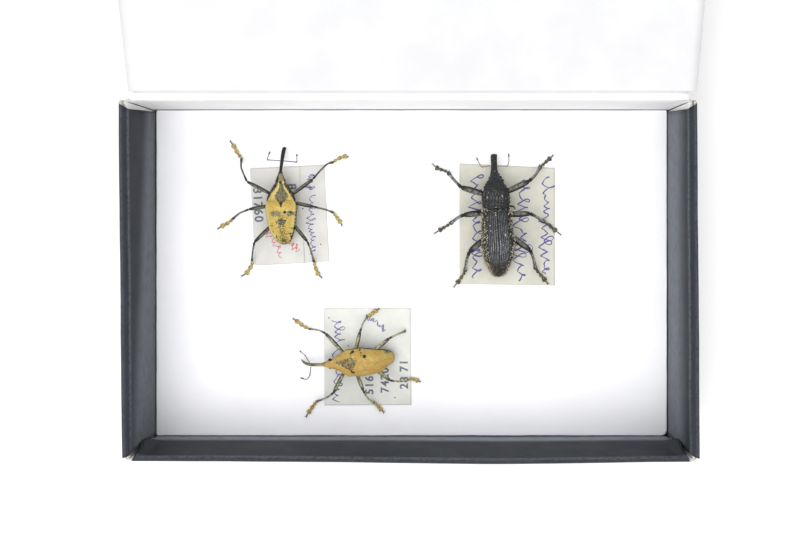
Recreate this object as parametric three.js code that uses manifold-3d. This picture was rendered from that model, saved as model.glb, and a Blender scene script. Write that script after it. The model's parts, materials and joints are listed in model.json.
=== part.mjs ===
// A folded-card specimen box with its lid open: three dried weevils on paper labels over a foam pad.
// Millimetres, +Z up. The origin is the centre of the tray's underside; +Y points to the hinged rear wall.
import * as THREE from 'three';
import { ParametricGeometry } from 'three/addons/geometries/ParametricGeometry.js';
import { mergeVertices } from 'three/addons/utils/BufferGeometryUtils.js';
import Module from 'manifold-3d';

const wasm = await Module();
wasm.setup();

// ---- driving dimensions -------------------------------------------------------------------------
const OUTER_WIDTH = 165;
const OUTER_DEPTH = 104;
const RIM_HEIGHT = 31;
const CARD = 0.6;
const SIDE_WALL = 2.6;
const FRONT_WALL = 1.4;
const FOLD_RADIUS = 0.5;
const CORNER_FLAP = 38;
const CREASE_STRIP = 1.4;
const OVERLAP = 0.05;
const FOOT = 0.2;
const PANEL_TOP = RIM_HEIGHT - 0.8;
const FLAP_TOP = RIM_HEIGHT - 1.2;

const LID_WIDTH = 162.6;
const LID_LENGTH = 103;
const LID_OPEN_ANGLE = THREE.MathUtils.degToRad(160.5);
const LID_CLEARANCE = 0.3;
const TUCK_DEPTH = 11;
const TUCK_WIDTH = 150;
const TUCK_CORNER = 6;

const FOAM_WIDTH = 159.4;
const FOAM_DEPTH = 101.6;
const FOAM_THICKNESS = 5.38;
const PAPER = 0.2;
const RESTING_GAP = 0.02;

const INNER_FRONT = -OUTER_DEPTH / 2 + FRONT_WALL;
const INNER_REAR = OUTER_DEPTH / 2 - CARD;
const INNER_SIDE = OUTER_WIDTH / 2 - SIDE_WALL;
const FOAM_TOP = CARD + RESTING_GAP + FOAM_THICKNESS;
const LABEL_LEVEL = FOAM_TOP + RESTING_GAP;

const COLOUR = {
  charcoalCard: 0x3e4146,
  whiteCard: 0xf2f2f0,
  foam: 0xfafafa,
  paper: 0xe8e8e2,
  creamPaper: 0xe9e6da,
  mustard: 0xcdaf55,
  ochre: 0xc39f4e,
  black: 0x34363a,
};

// ---- solids: closed meshes in and out of the boolean library ------------------------------------
function toSolid(geometry) {
  const bare = geometry.clone();
  bare.deleteAttribute('normal');
  bare.deleteAttribute('uv');
  const merged = mergeVertices(bare, 1e-4);
  const corners = [];
  const index = merged.index.array;
  for (let i = 0; i < index.length; i += 3) {
    const [a, b, c] = [index[i], index[i + 1], index[i + 2]];
    if (a !== b && b !== c && c !== a) corners.push(a, b, c);
  }
  const vertProperties = new Float32Array(merged.attributes.position.array);
  return new wasm.Manifold(new wasm.Mesh({ numProp: 3, vertProperties, triVerts: new Uint32Array(corners) }));
}

function join(geometries) {
  return geometries.map(toSolid).reduce((whole, piece) => whole.add(piece));
}

function toGeometry(solid) {
  const mesh = solid.getMesh();
  const geometry = new THREE.BufferGeometry();
  geometry.setAttribute('position', new THREE.BufferAttribute(Float32Array.from(mesh.vertProperties), 3));
  geometry.setIndex(new THREE.BufferAttribute(Uint32Array.from(mesh.triVerts), 1));
  geometry.computeVertexNormals();
  return geometry;
}

function node(name, geometry, color, roughness) {
  const mesh = new THREE.Mesh(geometry, new THREE.MeshStandardMaterial({ color, roughness, metalness: 0 }));
  mesh.name = name;
  return mesh;
}

function boxBetween(low, high) {
  const size = high.map((value, axis) => value - low[axis]);
  const middle = high.map((value, axis) => (value + low[axis]) / 2);
  return new THREE.BoxGeometry(...size).translate(...middle);
}

// ---- card: walls are drawn as sections and drawn out along the wall -----------------------------
// An outline from straight points, each with the radius of its rounding.
function roundedOutline(points) {
  const shape = new THREE.Shape();
  points.forEach(([x, y, radius], i) => {
    const corner = new THREE.Vector2(x, y);
    const [before, after] = [points.at(i - 1), points[(i + 1) % points.length]];
    const start = new THREE.Vector2(before[0], before[1]).sub(corner).setLength(radius).add(corner);
    const end = new THREE.Vector2(after[0], after[1]).sub(corner).setLength(radius).add(corner);
    if (i === 0) shape.moveTo(start.x, start.y);
    else shape.lineTo(start.x, start.y);
    if (radius > 0) shape.quadraticCurveTo(corner.x, corner.y, end.x, end.y);
  });
  shape.closePath();
  return shape;
}

function extrude(shape, depth, curveSegments = 3) {
  return new THREE.ExtrudeGeometry(shape, { depth, bevelEnabled: false, curveSegments });
}

// A side wall is card folded over at the rim: outer panel, flat rim and inner panel around a hollow.
// Its rolled rim is cut short of the corners, and aslant at both ends.
function sideWall(side) {
  const rearCut = 1.7;
  const frontCut = 1.0;
  const slant = 1.1 / SIDE_WALL;
  const section = roundedOutline([
    [OVERLAP, FOOT, 0],
    [OVERLAP, RIM_HEIGHT, FOLD_RADIUS],
    [SIDE_WALL, RIM_HEIGHT, FOLD_RADIUS],
    [SIDE_WALL, CARD - OVERLAP, 0],
    [SIDE_WALL - CARD, CARD - OVERLAP, 0],
    [SIDE_WALL - CARD, RIM_HEIGHT - CARD, 0],
    [CARD + OVERLAP, RIM_HEIGHT - CARD, 0],
    [CARD + OVERLAP, FOOT, 0],
  ]);
  const length = OUTER_DEPTH - rearCut - frontCut;
  const wall = extrude(section, length);
  const position = wall.attributes.position;
  for (let i = 0; i < position.count; i += 1) {
    const inward = position.getX(i);
    const height = position.getY(i);
    const atRear = position.getZ(i) > length / 2;
    const reach = atRear ? OUTER_DEPTH / 2 - rearCut - slant * inward : -OUTER_DEPTH / 2 + frontCut + slant * inward;
    position.setXYZ(i, side * (OUTER_WIDTH / 2 - inward), reach, height);
  }
  if (side < 0) flipFaces(wall);
  return wall;
}

function flipFaces(geometry) {
  const position = geometry.attributes.position;
  const [a, b] = [new THREE.Vector3(), new THREE.Vector3()];
  for (let i = 0; i < position.count; i += 3) {
    a.fromBufferAttribute(position, i + 1);
    b.fromBufferAttribute(position, i + 2);
    position.setXYZ(i + 1, b.x, b.y, b.z);
    position.setXYZ(i + 2, a.x, a.y, a.z);
  }
}

// The outer side panel runs the whole depth, with the front and rear corner flaps pressed against it.
// Panels that meet are stepped by the small overlap, so that no two faces lie in one plane.
function sidePanelAndFlaps(side) {
  const outer = OUTER_WIDTH / 2 - 2 * OVERLAP;
  const skin = OUTER_WIDTH / 2 - CARD;
  const end = OUTER_DEPTH / 2 - 3 * OVERLAP;
  const flapEnd = OUTER_DEPTH / 2 - 8 * OVERLAP;
  const flapReach = OUTER_DEPTH / 2 - CORNER_FLAP;
  const spans = [
    [skin, outer, -end, end, PANEL_TOP],
    [skin - CARD, skin + OVERLAP, -flapEnd, -flapReach, FLAP_TOP],
    [skin - CARD, skin + OVERLAP, flapReach, flapEnd, FLAP_TOP],
  ];
  return spans.map(([near, far, front, rear, top]) => {
    const [low, high] = side > 0 ? [near, far] : [-far, -near];
    return boxBetween([low, front, FOOT], [high, rear, top]);
  });
}

// The front wall is the same fold pressed flat, a double thickness with a rolled top.
function frontWall() {
  const rollEnd = INNER_SIDE - 0.6;
  const section = roundedOutline([
    [OVERLAP, FOOT, 0],
    [FRONT_WALL, FOOT, 0],
    [FRONT_WALL, RIM_HEIGHT, FOLD_RADIUS],
    [OVERLAP, RIM_HEIGHT, FOLD_RADIUS],
  ]);
  const roll = extrude(section, 2 * rollEnd);
  roll.rotateX(Math.PI / 2);
  roll.rotateZ(Math.PI / 2);
  roll.translate(-rollEnd, -OUTER_DEPTH / 2, 0);
  const halfWidth = OUTER_WIDTH / 2 - 6 * OVERLAP;
  const outerPanel = boxBetween(
    [-halfWidth, -OUTER_DEPTH / 2 + 2 * OVERLAP, FOOT],
    [halfWidth, -OUTER_DEPTH / 2 + CARD, PANEL_TOP - OVERLAP],
  );
  return [roll, outerPanel];
}

// The rear wall is a single thickness, with the narrow strip between the lid's two creases at its top.
function rearWall() {
  const halfWidth = OUTER_WIDTH / 2 - 6 * OVERLAP;
  const face = OUTER_DEPTH / 2 - OVERLAP;
  const cornerToCorner = boxBetween(
    [-halfWidth, INNER_REAR + OVERLAP, FOOT],
    [halfWidth, face - OVERLAP, PANEL_TOP - 2 * OVERLAP],
  );
  const middle = boxBetween([-INNER_SIDE, INNER_REAR, FOOT], [INNER_SIDE, face, RIM_HEIGHT - 2 * OVERLAP]);
  const strip = boxBetween(
    [-INNER_SIDE + OVERLAP, INNER_REAR + OVERLAP, RIM_HEIGHT - CARD],
    [INNER_SIDE - OVERLAP, OUTER_DEPTH / 2 + CREASE_STRIP, RIM_HEIGHT],
  );
  return [cornerToCorner, middle, strip];
}

function cartonTray() {
  const floor = boxBetween(
    [-OUTER_WIDTH / 2, -OUTER_DEPTH / 2, 0],
    [OUTER_WIDTH / 2, OUTER_DEPTH / 2, CARD],
  );
  const pieces = [floor, ...frontWall(), ...rearWall()];
  for (const side of [-1, 1]) pieces.push(sideWall(side), ...sidePanelAndFlaps(side));
  return node('carton_tray', toGeometry(join(pieces)), COLOUR.charcoalCard, 0.6);
}

// The lid is drawn closed, hanging from its crease at the group's origin, and turned back to its open pose.
function cartonLid() {
  const panel = boxBetween(
    [-LID_WIDTH / 2, -LID_LENGTH, LID_CLEARANCE],
    [LID_WIDTH / 2, -LID_CLEARANCE, LID_CLEARANCE + CARD],
  );
  const flapShape = roundedOutline([
    [-TUCK_WIDTH / 2, LID_CLEARANCE + CARD / 2, 0],
    [-TUCK_WIDTH / 2, -TUCK_DEPTH, TUCK_CORNER],
    [TUCK_WIDTH / 2, -TUCK_DEPTH, TUCK_CORNER],
    [TUCK_WIDTH / 2, LID_CLEARANCE + CARD / 2, 0],
  ]);
  const flap = extrude(flapShape, CARD, 6);
  flap.rotateX(Math.PI / 2);
  flap.translate(0, -LID_LENGTH + CARD, 0);
  const lid = node('carton_lid', toGeometry(join([panel, flap])), COLOUR.whiteCard, 0.55);
  lid.geometry.rotateX(-LID_OPEN_ANGLE);
  lid.position.set(0, OUTER_DEPTH / 2 + CREASE_STRIP, RIM_HEIGHT);
  return lid;
}

// ---- pad and labels -----------------------------------------------------------------------------
function foamPad() {
  const [x, y] = [FOAM_WIDTH / 2, FOAM_DEPTH / 2];
  const outline = roundedOutline([
    [-x, -y, 0.5],
    [x, -y, 1.8],
    [x, y, 0.5],
    [-x, y, 0.5],
  ]);
  const pad = node('foam_pad', extrude(outline, FOAM_THICKNESS), COLOUR.foam, 0.9);
  pad.position.set(0, (INNER_FRONT + INNER_REAR) / 2, CARD + RESTING_GAP);
  return pad;
}

function label(name, { centre, size, turn, level = LABEL_LEVEL }) {
  const slip = node(name, new THREE.BoxGeometry(size[0], size[1], PAPER), COLOUR.paper, 0.8);
  slip.rotation.z = THREE.MathUtils.degToRad(turn);
  slip.position.set(centre[0], centre[1], level + PAPER / 2);
  return slip;
}

// This slip was cut out of square, so its four corners are given.
function slantedLabel(name, corners, color) {
  const outline = roundedOutline(corners.map(([x, y]) => [x, y, 0]));
  const slip = node(name, extrude(outline, PAPER), color, 0.8);
  slip.position.z = LABEL_LEVEL;
  return slip;
}

// ---- weevils ------------------------------------------------------------------------------------
// Each is drawn facing +x with +y to its left and z = 0 at the foam. Stations are
// [x, y, z, half-width, half-height]; the skin swept through them closes at both ends.
function sweptSkin(stations, sides, stepsPerSpan) {
  const spine = new THREE.CatmullRomCurve3(stations.map(([x, y, z]) => new THREE.Vector3(x, y, z)));
  const girth = new THREE.CatmullRomCurve3(stations.map((s, i) => new THREE.Vector3(s[3], s[4], i)));
  const up = new THREE.Vector3(0, 0, 1);
  const section = (around, along, target) => {
    const point = spine.getPoint(along);
    const tangent = spine.getTangent(along);
    const across = new THREE.Vector3().crossVectors(up, tangent).normalize();
    const above = new THREE.Vector3().crossVectors(tangent, across);
    const size = girth.getPoint(along);
    const atEnd = along === 0 || along === 1;
    const angle = 2 * Math.PI * (around % 1);
    const width = atEnd ? 0 : Math.max(size.x, 0.03);
    const height = atEnd ? 0 : Math.max(size.y, 0.03);
    target.copy(point);
    target.addScaledVector(across, width * Math.cos(angle));
    target.addScaledVector(above, height * Math.sin(angle));
  };
  return new ParametricGeometry(section, sides, (stations.length - 1) * stepsPerSpan);
}

// A leg is one skin: swollen femur, thin tibia, then three lobed pads and a claw.
// Its points are the hip, knee, any bends of the tibia, the ankle and the toe tip.
function legStations({ hip, knee, shin, ankle, pads, toe }, thick) {
  const point = (p, width, height = width) => [...p, width * thick, height * thick];
  const between = (from, to, part) => from.map((value, axis) => value + (to[axis] - value) * part);
  const foot = [ankle, ...pads, toe];
  const stations = [
    point(hip, 0),
    point(between(hip, knee, 0.12), 0.42),
    point(between(hip, knee, 0.6), 0.5),
    point(between(hip, knee, 0.93), 0.36),
    point(between(knee, shin[0] ?? ankle, 0.15), 0.28),
    ...shin.map((p) => point(p, 0.27)),
    point(between(shin.at(-1) ?? knee, ankle, 0.93), 0.34),
  ];
  for (let i = 0; i < pads.length; i += 1) {
    stations.push([...between(foot[i], foot[i + 1], 0.25), 0.24, 0.16]);
    stations.push([...between(foot[i], foot[i + 1], 0.8), 0.5 + 0.15 * i, 0.22]);
  }
  if (pads.length > 0) {
    stations.push([...between(foot.at(-2), toe, 0.25), 0.16, 0.14]);
    stations.push([...between(foot.at(-2), toe, 0.7), 0.16, 0.14]);
    stations.push([...toe, 0, 0]);
  } else {
    stations.push(point(ankle, 0));
  }
  return stations;
}

// An antenna bends at its elbow and ends in a club.
function antennaStations([root, elbow, ...rest]) {
  const tip = rest.at(-1);
  const before = rest.at(-2) ?? elbow;
  const toward = (part) => before.map((value, axis) => value + (tip[axis] - value) * part);
  return [
    [...root, 0, 0],
    [...root.map((value, axis) => value + (elbow[axis] - value) * 0.2), 0.14, 0.14],
    [...elbow, 0.16, 0.16],
    ...rest.slice(0, -1).map((p) => [...p, 0.14, 0.14]),
    [...toward(0.45), 0.14, 0.14],
    [...toward(0.75), 0.28, 0.28],
    [...tip, 0, 0],
  ];
}

function weevil(name, { hindBody, pronotum, head, legs, antennae, legThickness, place, heading, color }) {
  const skins = [
    sweptSkin(hindBody, 20, 2),
    sweptSkin(pronotum, 18, 2),
    sweptSkin(head, 10, 2),
    ...legs.map((leg) => sweptSkin(legStations(leg, legThickness), 6, 1)),
    ...antennae.map((points) => sweptSkin(antennaStations(points), 5, 1)),
  ];
  const body = node(name, toGeometry(join(skins)), color, 0.5);
  body.rotation.z = THREE.MathUtils.degToRad(heading);
  body.position.set(place[0], place[1], FOAM_TOP);
  return body;
}

const LEFT_WEEVIL = {
  place: [-39.9, 20.0],
  heading: 91.7,
  color: COLOUR.mustard,
  legThickness: 1,
  hindBody: [
    [-10.5, -0.2, 2.6, 0, 0],
    [-10.2, -0.2, 2.7, 1.3, 0.8],
    [-9.2, -0.2, 3.1, 2.3, 1.5],
    [-7.6, -0.1, 3.7, 3.1, 2.2],
    [-4.7, 0, 4.4, 4.1, 3.0],
    [-1.6, 0, 4.6, 4.5, 3.3],
    [1.1, 0, 4.6, 4.85, 3.2],
    [2.3, 0, 4.5, 4.6, 2.9],
    [3.2, 0, 4.4, 3.4, 2.2],
    [3.8, 0, 4.4, 0, 0],
  ],
  pronotum: [
    [1.4, 0, 4.3, 0, 0],
    [2.2, 0, 4.4, 4.0, 2.4],
    [3.2, 0, 4.4, 4.4, 2.7],
    [4.7, 0, 4.4, 3.95, 2.6],
    [6.2, 0, 4.4, 3.05, 2.2],
    [7.8, 0, 4.4, 2.1, 1.8],
    [8.6, 0, 4.4, 0, 0],
  ],
  head: [
    [6.4, 0, 4.6, 0, 0],
    [7.4, 0, 4.6, 1.7, 1.5],
    [9.2, 0, 4.5, 1.4, 1.3],
    [10.6, 0, 4.4, 0.9, 0.9],
    [12.3, -0.1, 3.9, 0.45, 0.5],
    [15.4, -0.4, 2.8, 0.55, 0.5],
    [18.3, -0.8, 1.8, 0.62, 0.5],
    [19.3, -1.0, 1.4, 0.6, 0.4],
    [19.6, -1.0, 1.3, 0, 0],
  ],
  legs: [
    {
      hip: [4.4, 2.2, 3.0], knee: [9.0, 10.0, 6.0], shin: [[12.0, 11.5, 4.5], [14.2, 12.4, 2.5]],
      ankle: [16.5, 12.5, 0.9], pads: [[17.5, 13.4, 0.5], [19.1, 14.3, 0.5], [20.6, 15.0, 0.5]],
      toe: [22.2, 16.2, 0.3],
    },
    {
      hip: [4.0, -2.2, 3.0], knee: [9.1, -10.1, 6.0], shin: [[12.2, -12.7, 4.0], [14.1, -14.8, 2.0]],
      ankle: [14.4, -16.2, 0.9], pads: [[15.1, -16.8, 0.5], [15.8, -18.4, 0.5], [16.2, -19.9, 0.5]],
      toe: [15.9, -20.8, 0.3],
    },
    {
      hip: [1.6, 2.8, 3.0], knee: [0.5, 9.7, 6.0], shin: [[-0.6, 13.0, 3.5]],
      ankle: [-2.4, 15.9, 0.9], pads: [[-3.0, 16.6, 0.5], [-3.9, 18.0, 0.5], [-4.5, 19.4, 0.5]],
      toe: [-5.4, 20.9, 0.3],
    },
    {
      hip: [2.4, -2.8, 3.0], knee: [0.7, -10.2, 6.0], shin: [[-0.3, -13.6, 3.2]],
      ankle: [-1.3, -15.6, 0.9], pads: [[-2.2, -16.1, 0.5], [-3.3, -16.9, 0.5], [-4.3, -17.6, 0.5]],
      toe: [-5.6, -18.2, 0.3],
    },
    {
      hip: [-3.6, 2.4, 3.0], knee: [-9.6, 8.2, 6.5], shin: [[-12.1, 9.2, 4.0]],
      ankle: [-15.6, 10.2, 0.9], pads: [[-16.7, 10.2, 0.5], [-18.0, 11.1, 0.5], [-19.4, 12.1, 0.5]],
      toe: [-20.4, 14.0, 0.3],
    },
    {
      hip: [-3.2, -2.4, 3.0], knee: [-9.9, -8.0, 6.5], shin: [[-12.6, -8.6, 4.0]],
      ankle: [-16.5, -9.1, 0.9], pads: [[-17.5, -9.2, 0.5], [-19.0, -9.7, 0.5], [-20.4, -10.2, 0.5]],
      toe: [-21.6, -11.5, 0.3],
    },
  ],
  antennae: [
    [[15.2, -0.2, 2.9], [15.6, 4.1, 3.6], [18.2, 3.2, 3.2]],
    [[15.2, -0.6, 2.9], [14.6, -5.1, 3.6], [17.2, -5.1, 3.2]],
  ],
};

const FRONT_WEEVIL = {
  place: [-15.8, -26.3],
  heading: -175.6,
  color: COLOUR.ochre,
  legThickness: 1,
  hindBody: [
    [-10.5, 0.1, 2.7, 0, 0],
    [-10.2, -0.1, 2.8, 1.2, 0.8],
    [-9.2, -0.1, 3.1, 2.0, 1.3],
    [-7.9, 0, 3.5, 2.6, 1.9],
    [-7.2, 0.3, 3.7, 3.0, 2.2],
    [-6.0, 0.5, 4.0, 3.4, 2.6],
    [-3.0, 0.5, 4.5, 3.95, 3.2],
    [0.2, 0.4, 4.6, 4.3, 3.2],
    [1.6, 0.4, 4.5, 4.2, 2.9],
    [2.6, 0.4, 4.4, 3.1, 2.2],
    [3.2, 0.4, 4.4, 0, 0],
  ],
  pronotum: [
    [0.9, 0.4, 4.3, 0, 0],
    [1.8, 0.4, 4.4, 4.0, 2.4],
    [3.1, 0.4, 4.4, 4.15, 2.7],
    [4.7, 0.4, 4.4, 3.7, 2.6],
    [6.3, 0.3, 4.4, 2.5, 2.1],
    [7.6, 0.3, 4.4, 1.9, 1.8],
    [8.4, 0.3, 4.4, 0, 0],
  ],
  head: [
    [6.3, 0.3, 4.6, 0, 0],
    [7.3, 0.3, 4.6, 1.7, 1.5],
    [9.0, 0.3, 4.5, 1.45, 1.3],
    [10.4, 0.3, 4.3, 0.9, 0.9],
    [12.2, 0.4, 3.9, 0.5, 0.5],
    [14.6, 0.3, 3.2, 0.5, 0.5],
    [16.6, 0.0, 2.4, 0.5, 0.45],
    [17.9, -0.7, 1.6, 0.48, 0.4],
    [18.5, -1.3, 1.2, 0, 0],
  ],
  legs: [
    {
      hip: [4.2, -1.6, 3.0], knee: [9.7, -9.4, 6.0], shin: [[12.2, -10.3, 3.8]],
      ankle: [15.3, -10.6, 1.2], pads: [[16.8, -11.2, 0.5], [18.0, -12.3, 0.5], [19.1, -13.2, 0.5]],
      toe: [20.3, -14.2, 0.3],
    },
    {
      hip: [1.5, -2.0, 3.0], knee: [-0.9, -9.1, 6.0], shin: [[-1.8, -11.3, 3.6]],
      ankle: [-3.1, -12.8, 1.2], pads: [[-4.1, -13.4, 0.8], [-5.0, -14.0, 0.8], [-5.9, -14.6, 0.8]],
      toe: [-7.1, -15.2, 0.6],
    },
    {
      hip: [-3.4, -1.8, 3.0], knee: [-9.7, -6.4, 6.0], shin: [[-12.3, -7.1, 3.4]],
      ankle: [-14.6, -7.6, 0.9], pads: [], toe: null,
    },
    {
      hip: [4.6, 2.4, 3.0], knee: [8.6, 8.9, 6.0], shin: [[11.4, 10.8, 3.6]],
      ankle: [14.7, 12.2, 1.0], pads: [[15.6, 13.1, 0.5], [16.6, 14.3, 0.5], [17.5, 15.4, 0.5]],
      toe: [18.6, 17.0, 0.3],
    },
    {
      hip: [1.7, 2.8, 3.0], knee: [-0.5, 9.0, 6.0], shin: [[-1.5, 11.8, 3.6]],
      ankle: [-3.2, 13.9, 1.2], pads: [[-3.9, 14.7, 0.8], [-4.5, 15.5, 0.8], [-5.1, 16.3, 0.8]],
      toe: [-6.1, 17.4, 0.6],
    },
    {
      hip: [-3.6, 2.4, 3.0], knee: [-8.9, 6.5, 6.0], shin: [[-11.8, 7.4, 3.6]],
      ankle: [-14.3, 7.5, 1.2], pads: [[-15.3, 7.4, 0.8], [-16.2, 7.7, 0.8], [-17.1, 8.1, 0.8]],
      toe: [-18.1, 8.7, 0.6],
    },
  ],
  antennae: [
    [[15.2, 0.4, 3.0], [16.9, -2.9, 3.3], [18.5, -4.3, 2.8]],
    [[15.2, 0.4, 3.0], [15.8, 3.6, 3.4], [17.0, 4.7, 2.9], [19.0, 4.1, 2.5]],
  ],
};

const RIGHT_WEEVIL = {
  place: [26.4, 14.6],
  heading: 92.9,
  color: COLOUR.black,
  legThickness: 1.8,
  hindBody: [
    [-15.2, 0.2, 2.6, 0, 0],
    [-14.8, 0.2, 2.7, 1.2, 0.8],
    [-13.6, 0.1, 3.2, 2.5, 1.6],
    [-11.5, 0.1, 4.0, 3.6, 2.5],
    [-8.4, 0, 5.0, 4.8, 3.5],
    [-5.3, -0.1, 5.4, 5.25, 4.0],
    [-0.8, 0, 5.4, 4.95, 4.0],
    [2.8, 0, 5.2, 4.75, 3.7],
    [5.4, 0, 5.0, 4.6, 3.3],
    [6.3, 0, 4.9, 3.7, 2.6],
    [6.8, 0, 4.9, 0, 0],
  ],
  pronotum: [
    [5.0, 0, 4.8, 0, 0],
    [5.7, 0, 4.9, 3.7, 2.8],
    [6.8, 0, 5.0, 4.1, 3.3],
    [8.5, 0, 5.0, 4.25, 3.4],
    [10.0, 0, 4.9, 4.1, 3.2],
    [11.6, 0, 4.8, 3.75, 2.9],
    [13.0, 0, 4.7, 3.25, 2.5],
    [14.0, 0, 4.7, 2.6, 2.1],
    [14.6, 0, 4.7, 0, 0],
  ],
  head: [
    [11.4, 0, 4.8, 0, 0],
    [12.6, 0, 4.8, 2.3, 2.0],
    [14.4, 0, 4.8, 2.1, 1.8],
    [15.6, 0, 4.7, 1.6, 1.5],
    [17.2, 0, 4.3, 1.1, 1.1],
    [19.6, -0.1, 3.4, 0.9, 0.85],
    [21.8, -0.2, 2.5, 1.0, 0.8],
    [22.6, -0.3, 2.2, 0.95, 0.6],
    [22.8, -0.3, 2.1, 0, 0],
  ],
  legs: [
    {
      hip: [10.0, 2.0, 3.2], knee: [12.9, 10.5, 6.5], shin: [[15.2, 12.4, 4.0]],
      ankle: [17.8, 14.2, 1.3], pads: [[18.5, 15.3, 0.6], [18.9, 16.6, 0.6], [19.5, 17.7, 0.6]],
      toe: [21.0, 19.1, 0.4],
    },
    {
      hip: [10.2, -2.0, 3.2], knee: [13.7, -10.3, 7.0], shin: [[15.5, -12.5, 4.5]],
      ankle: [18.3, -14.7, 1.3], pads: [[18.9, -15.8, 0.6], [19.9, -16.8, 0.6], [20.6, -17.8, 0.6]],
      toe: [21.7, -19.1, 0.4],
    },
    {
      hip: [4.9, 2.4, 3.2], knee: [4.4, 10.2, 7.0], shin: [[3.7, 11.8, 4.8]],
      ankle: [1.9, 14.2, 1.5], pads: [[1.2, 15.4, 0.6], [0.6, 16.6, 0.6], [0.0, 17.7, 0.6]],
      toe: [-1.1, 19.6, 0.4],
    },
    {
      hip: [3.9, -2.4, 3.2], knee: [3.8, -10.1, 7.0], shin: [[2.6, -12.4, 4.8]],
      ankle: [0.9, -14.9, 1.5], pads: [[0.1, -16.0, 0.9], [-1.0, -17.2, 0.9], [-2.0, -18.4, 0.9]],
      toe: [-3.6, -20.2, 0.7],
    },
    {
      hip: [-2.4, 2.8, 3.2], knee: [-6.8, 9.0, 7.5], shin: [[-10.1, 10.0, 4.8]],
      ankle: [-13.1, 10.4, 1.5], pads: [[-14.1, 11.0, 0.9], [-15.4, 12.0, 0.9], [-16.6, 13.0, 0.7]],
      toe: [-18.2, 14.4, 0.4],
    },
    {
      hip: [-1.6, -2.8, 3.2], knee: [-7.3, -9.5, 7.5], shin: [[-9.9, -10.6, 5.0]],
      ankle: [-13.6, -11.5, 1.5], pads: [[-14.7, -12.4, 0.9], [-16.0, -13.4, 0.9], [-17.2, -14.3, 0.9]],
      toe: [-18.6, -15.3, 0.7],
    },
  ],
  antennae: [
    [[19.2, 0.3, 3.6], [18.8, 3.7, 4.2], [20.1, 4.5, 4.0], [22.0, 5.2, 3.4]],
    [[19.0, -0.5, 3.6], [18.7, -4.2, 4.2], [20.2, -4.7, 4.0], [22.7, -4.8, 3.4]],
  ],
};

// ---- the whole box ------------------------------------------------------------------------------
const UPPER_SLIP_LEVEL = LABEL_LEVEL + PAPER + RESTING_GAP;

const specimenBox = new THREE.Group();
specimenBox.add(
  cartonTray(),
  cartonLid(),
  foamPad(),
  label('label_left_name', { centre: [-33.2, 18.7], size: [13.5, 30.2], turn: 3.0 }),
  label('label_left_record', { centre: [-41.8, 18.2], size: [15.4, 30.2], turn: 3.0, level: UPPER_SLIP_LEVEL }),
  label('label_front', { centre: [-13.7, -25.7], size: [27.0, 30.2], turn: 0.4 }),
  slantedLabel('label_right', [[14.8, 34.5], [15.1, -3.1], [44.6, -3.5], [44.7, 33.1]], COLOUR.creamPaper),
  weevil('weevil_left', LEFT_WEEVIL),
  weevil('weevil_front', FRONT_WEEVIL),
  weevil('weevil_right', RIGHT_WEEVIL),
);

export default specimenBox;
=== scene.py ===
import json
import math

import bpy
import numpy as np
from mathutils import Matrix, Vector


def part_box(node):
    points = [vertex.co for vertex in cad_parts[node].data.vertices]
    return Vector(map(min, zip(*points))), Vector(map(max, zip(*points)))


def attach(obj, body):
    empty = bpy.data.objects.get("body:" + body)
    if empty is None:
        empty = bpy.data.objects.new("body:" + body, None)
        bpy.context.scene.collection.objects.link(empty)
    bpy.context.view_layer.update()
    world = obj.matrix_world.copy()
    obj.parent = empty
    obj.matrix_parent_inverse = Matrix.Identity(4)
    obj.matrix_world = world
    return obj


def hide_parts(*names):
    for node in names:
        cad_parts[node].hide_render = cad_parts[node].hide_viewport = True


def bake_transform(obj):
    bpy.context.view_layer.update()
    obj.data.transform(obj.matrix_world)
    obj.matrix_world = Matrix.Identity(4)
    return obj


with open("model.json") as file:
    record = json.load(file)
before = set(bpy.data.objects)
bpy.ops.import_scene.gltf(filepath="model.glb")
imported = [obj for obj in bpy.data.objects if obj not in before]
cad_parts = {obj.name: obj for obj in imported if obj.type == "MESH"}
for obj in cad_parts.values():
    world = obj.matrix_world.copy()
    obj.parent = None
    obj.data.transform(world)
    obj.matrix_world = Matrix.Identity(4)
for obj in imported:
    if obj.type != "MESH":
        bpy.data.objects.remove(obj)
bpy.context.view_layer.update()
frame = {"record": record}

# A folded-card specimen box, lid open, with three dried weevils on paper labels over white foam.
# Lengths are millimetres until a mesh is made; +Y points to the hinged rear wall.
MM = 0.001


def box_mm(name):
    """Lowest and highest corner of a frame node, in millimetres."""
    low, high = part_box(name)
    return np.array(low) / MM, np.array(high) / MM


# The tray's outline and the foam's top, from the frame, then the board, its folds and the paper.
tray_low, tray_high = box_mm("carton_tray")
foam_low, foam_high = box_mm("foam_pad")
HALF_WIDTH = tray_high[0]
FRONT = tray_low[1]
REAR = -FRONT
RIM = tray_high[2]
STRIP_EDGE = tray_high[1]
FOAM_TOP = foam_high[2]
CARD = 0.6
SIDE_WALL = 2.6
FRONT_WALL = 1.4
PAPER = 0.2
INNER_SIDE = HALF_WIDTH - SIDE_WALL
CARD_TOP = RIM - CARD / 2
PANEL_INSET = 0.35
FLAP_X = 81.0
FOAM_ROUND = 0.22
INK_LIFT = 0.012
FIGURE_TO_FONT = 1.35

# The lid: where its hinge is, how far it is laid back, and its measures along and across itself.
hinge_joint = frame["record"]["behaviour"]["joints"][0]
HINGE = np.array(hinge_joint["pos_m"]) / MM
LID_RISE = math.radians(180 - hinge_joint["range_deg"][1])
LID_LENGTH = 103.0
LID_HALF_WIDTH = 81.3
LID_DEPTH = 0.6
TUCK_DEPTH = 11.0
TUCK_HALF_WIDTH = 75.0
TUCK_CORNER = 6.0
LID_OFFSET = 0.9


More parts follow.
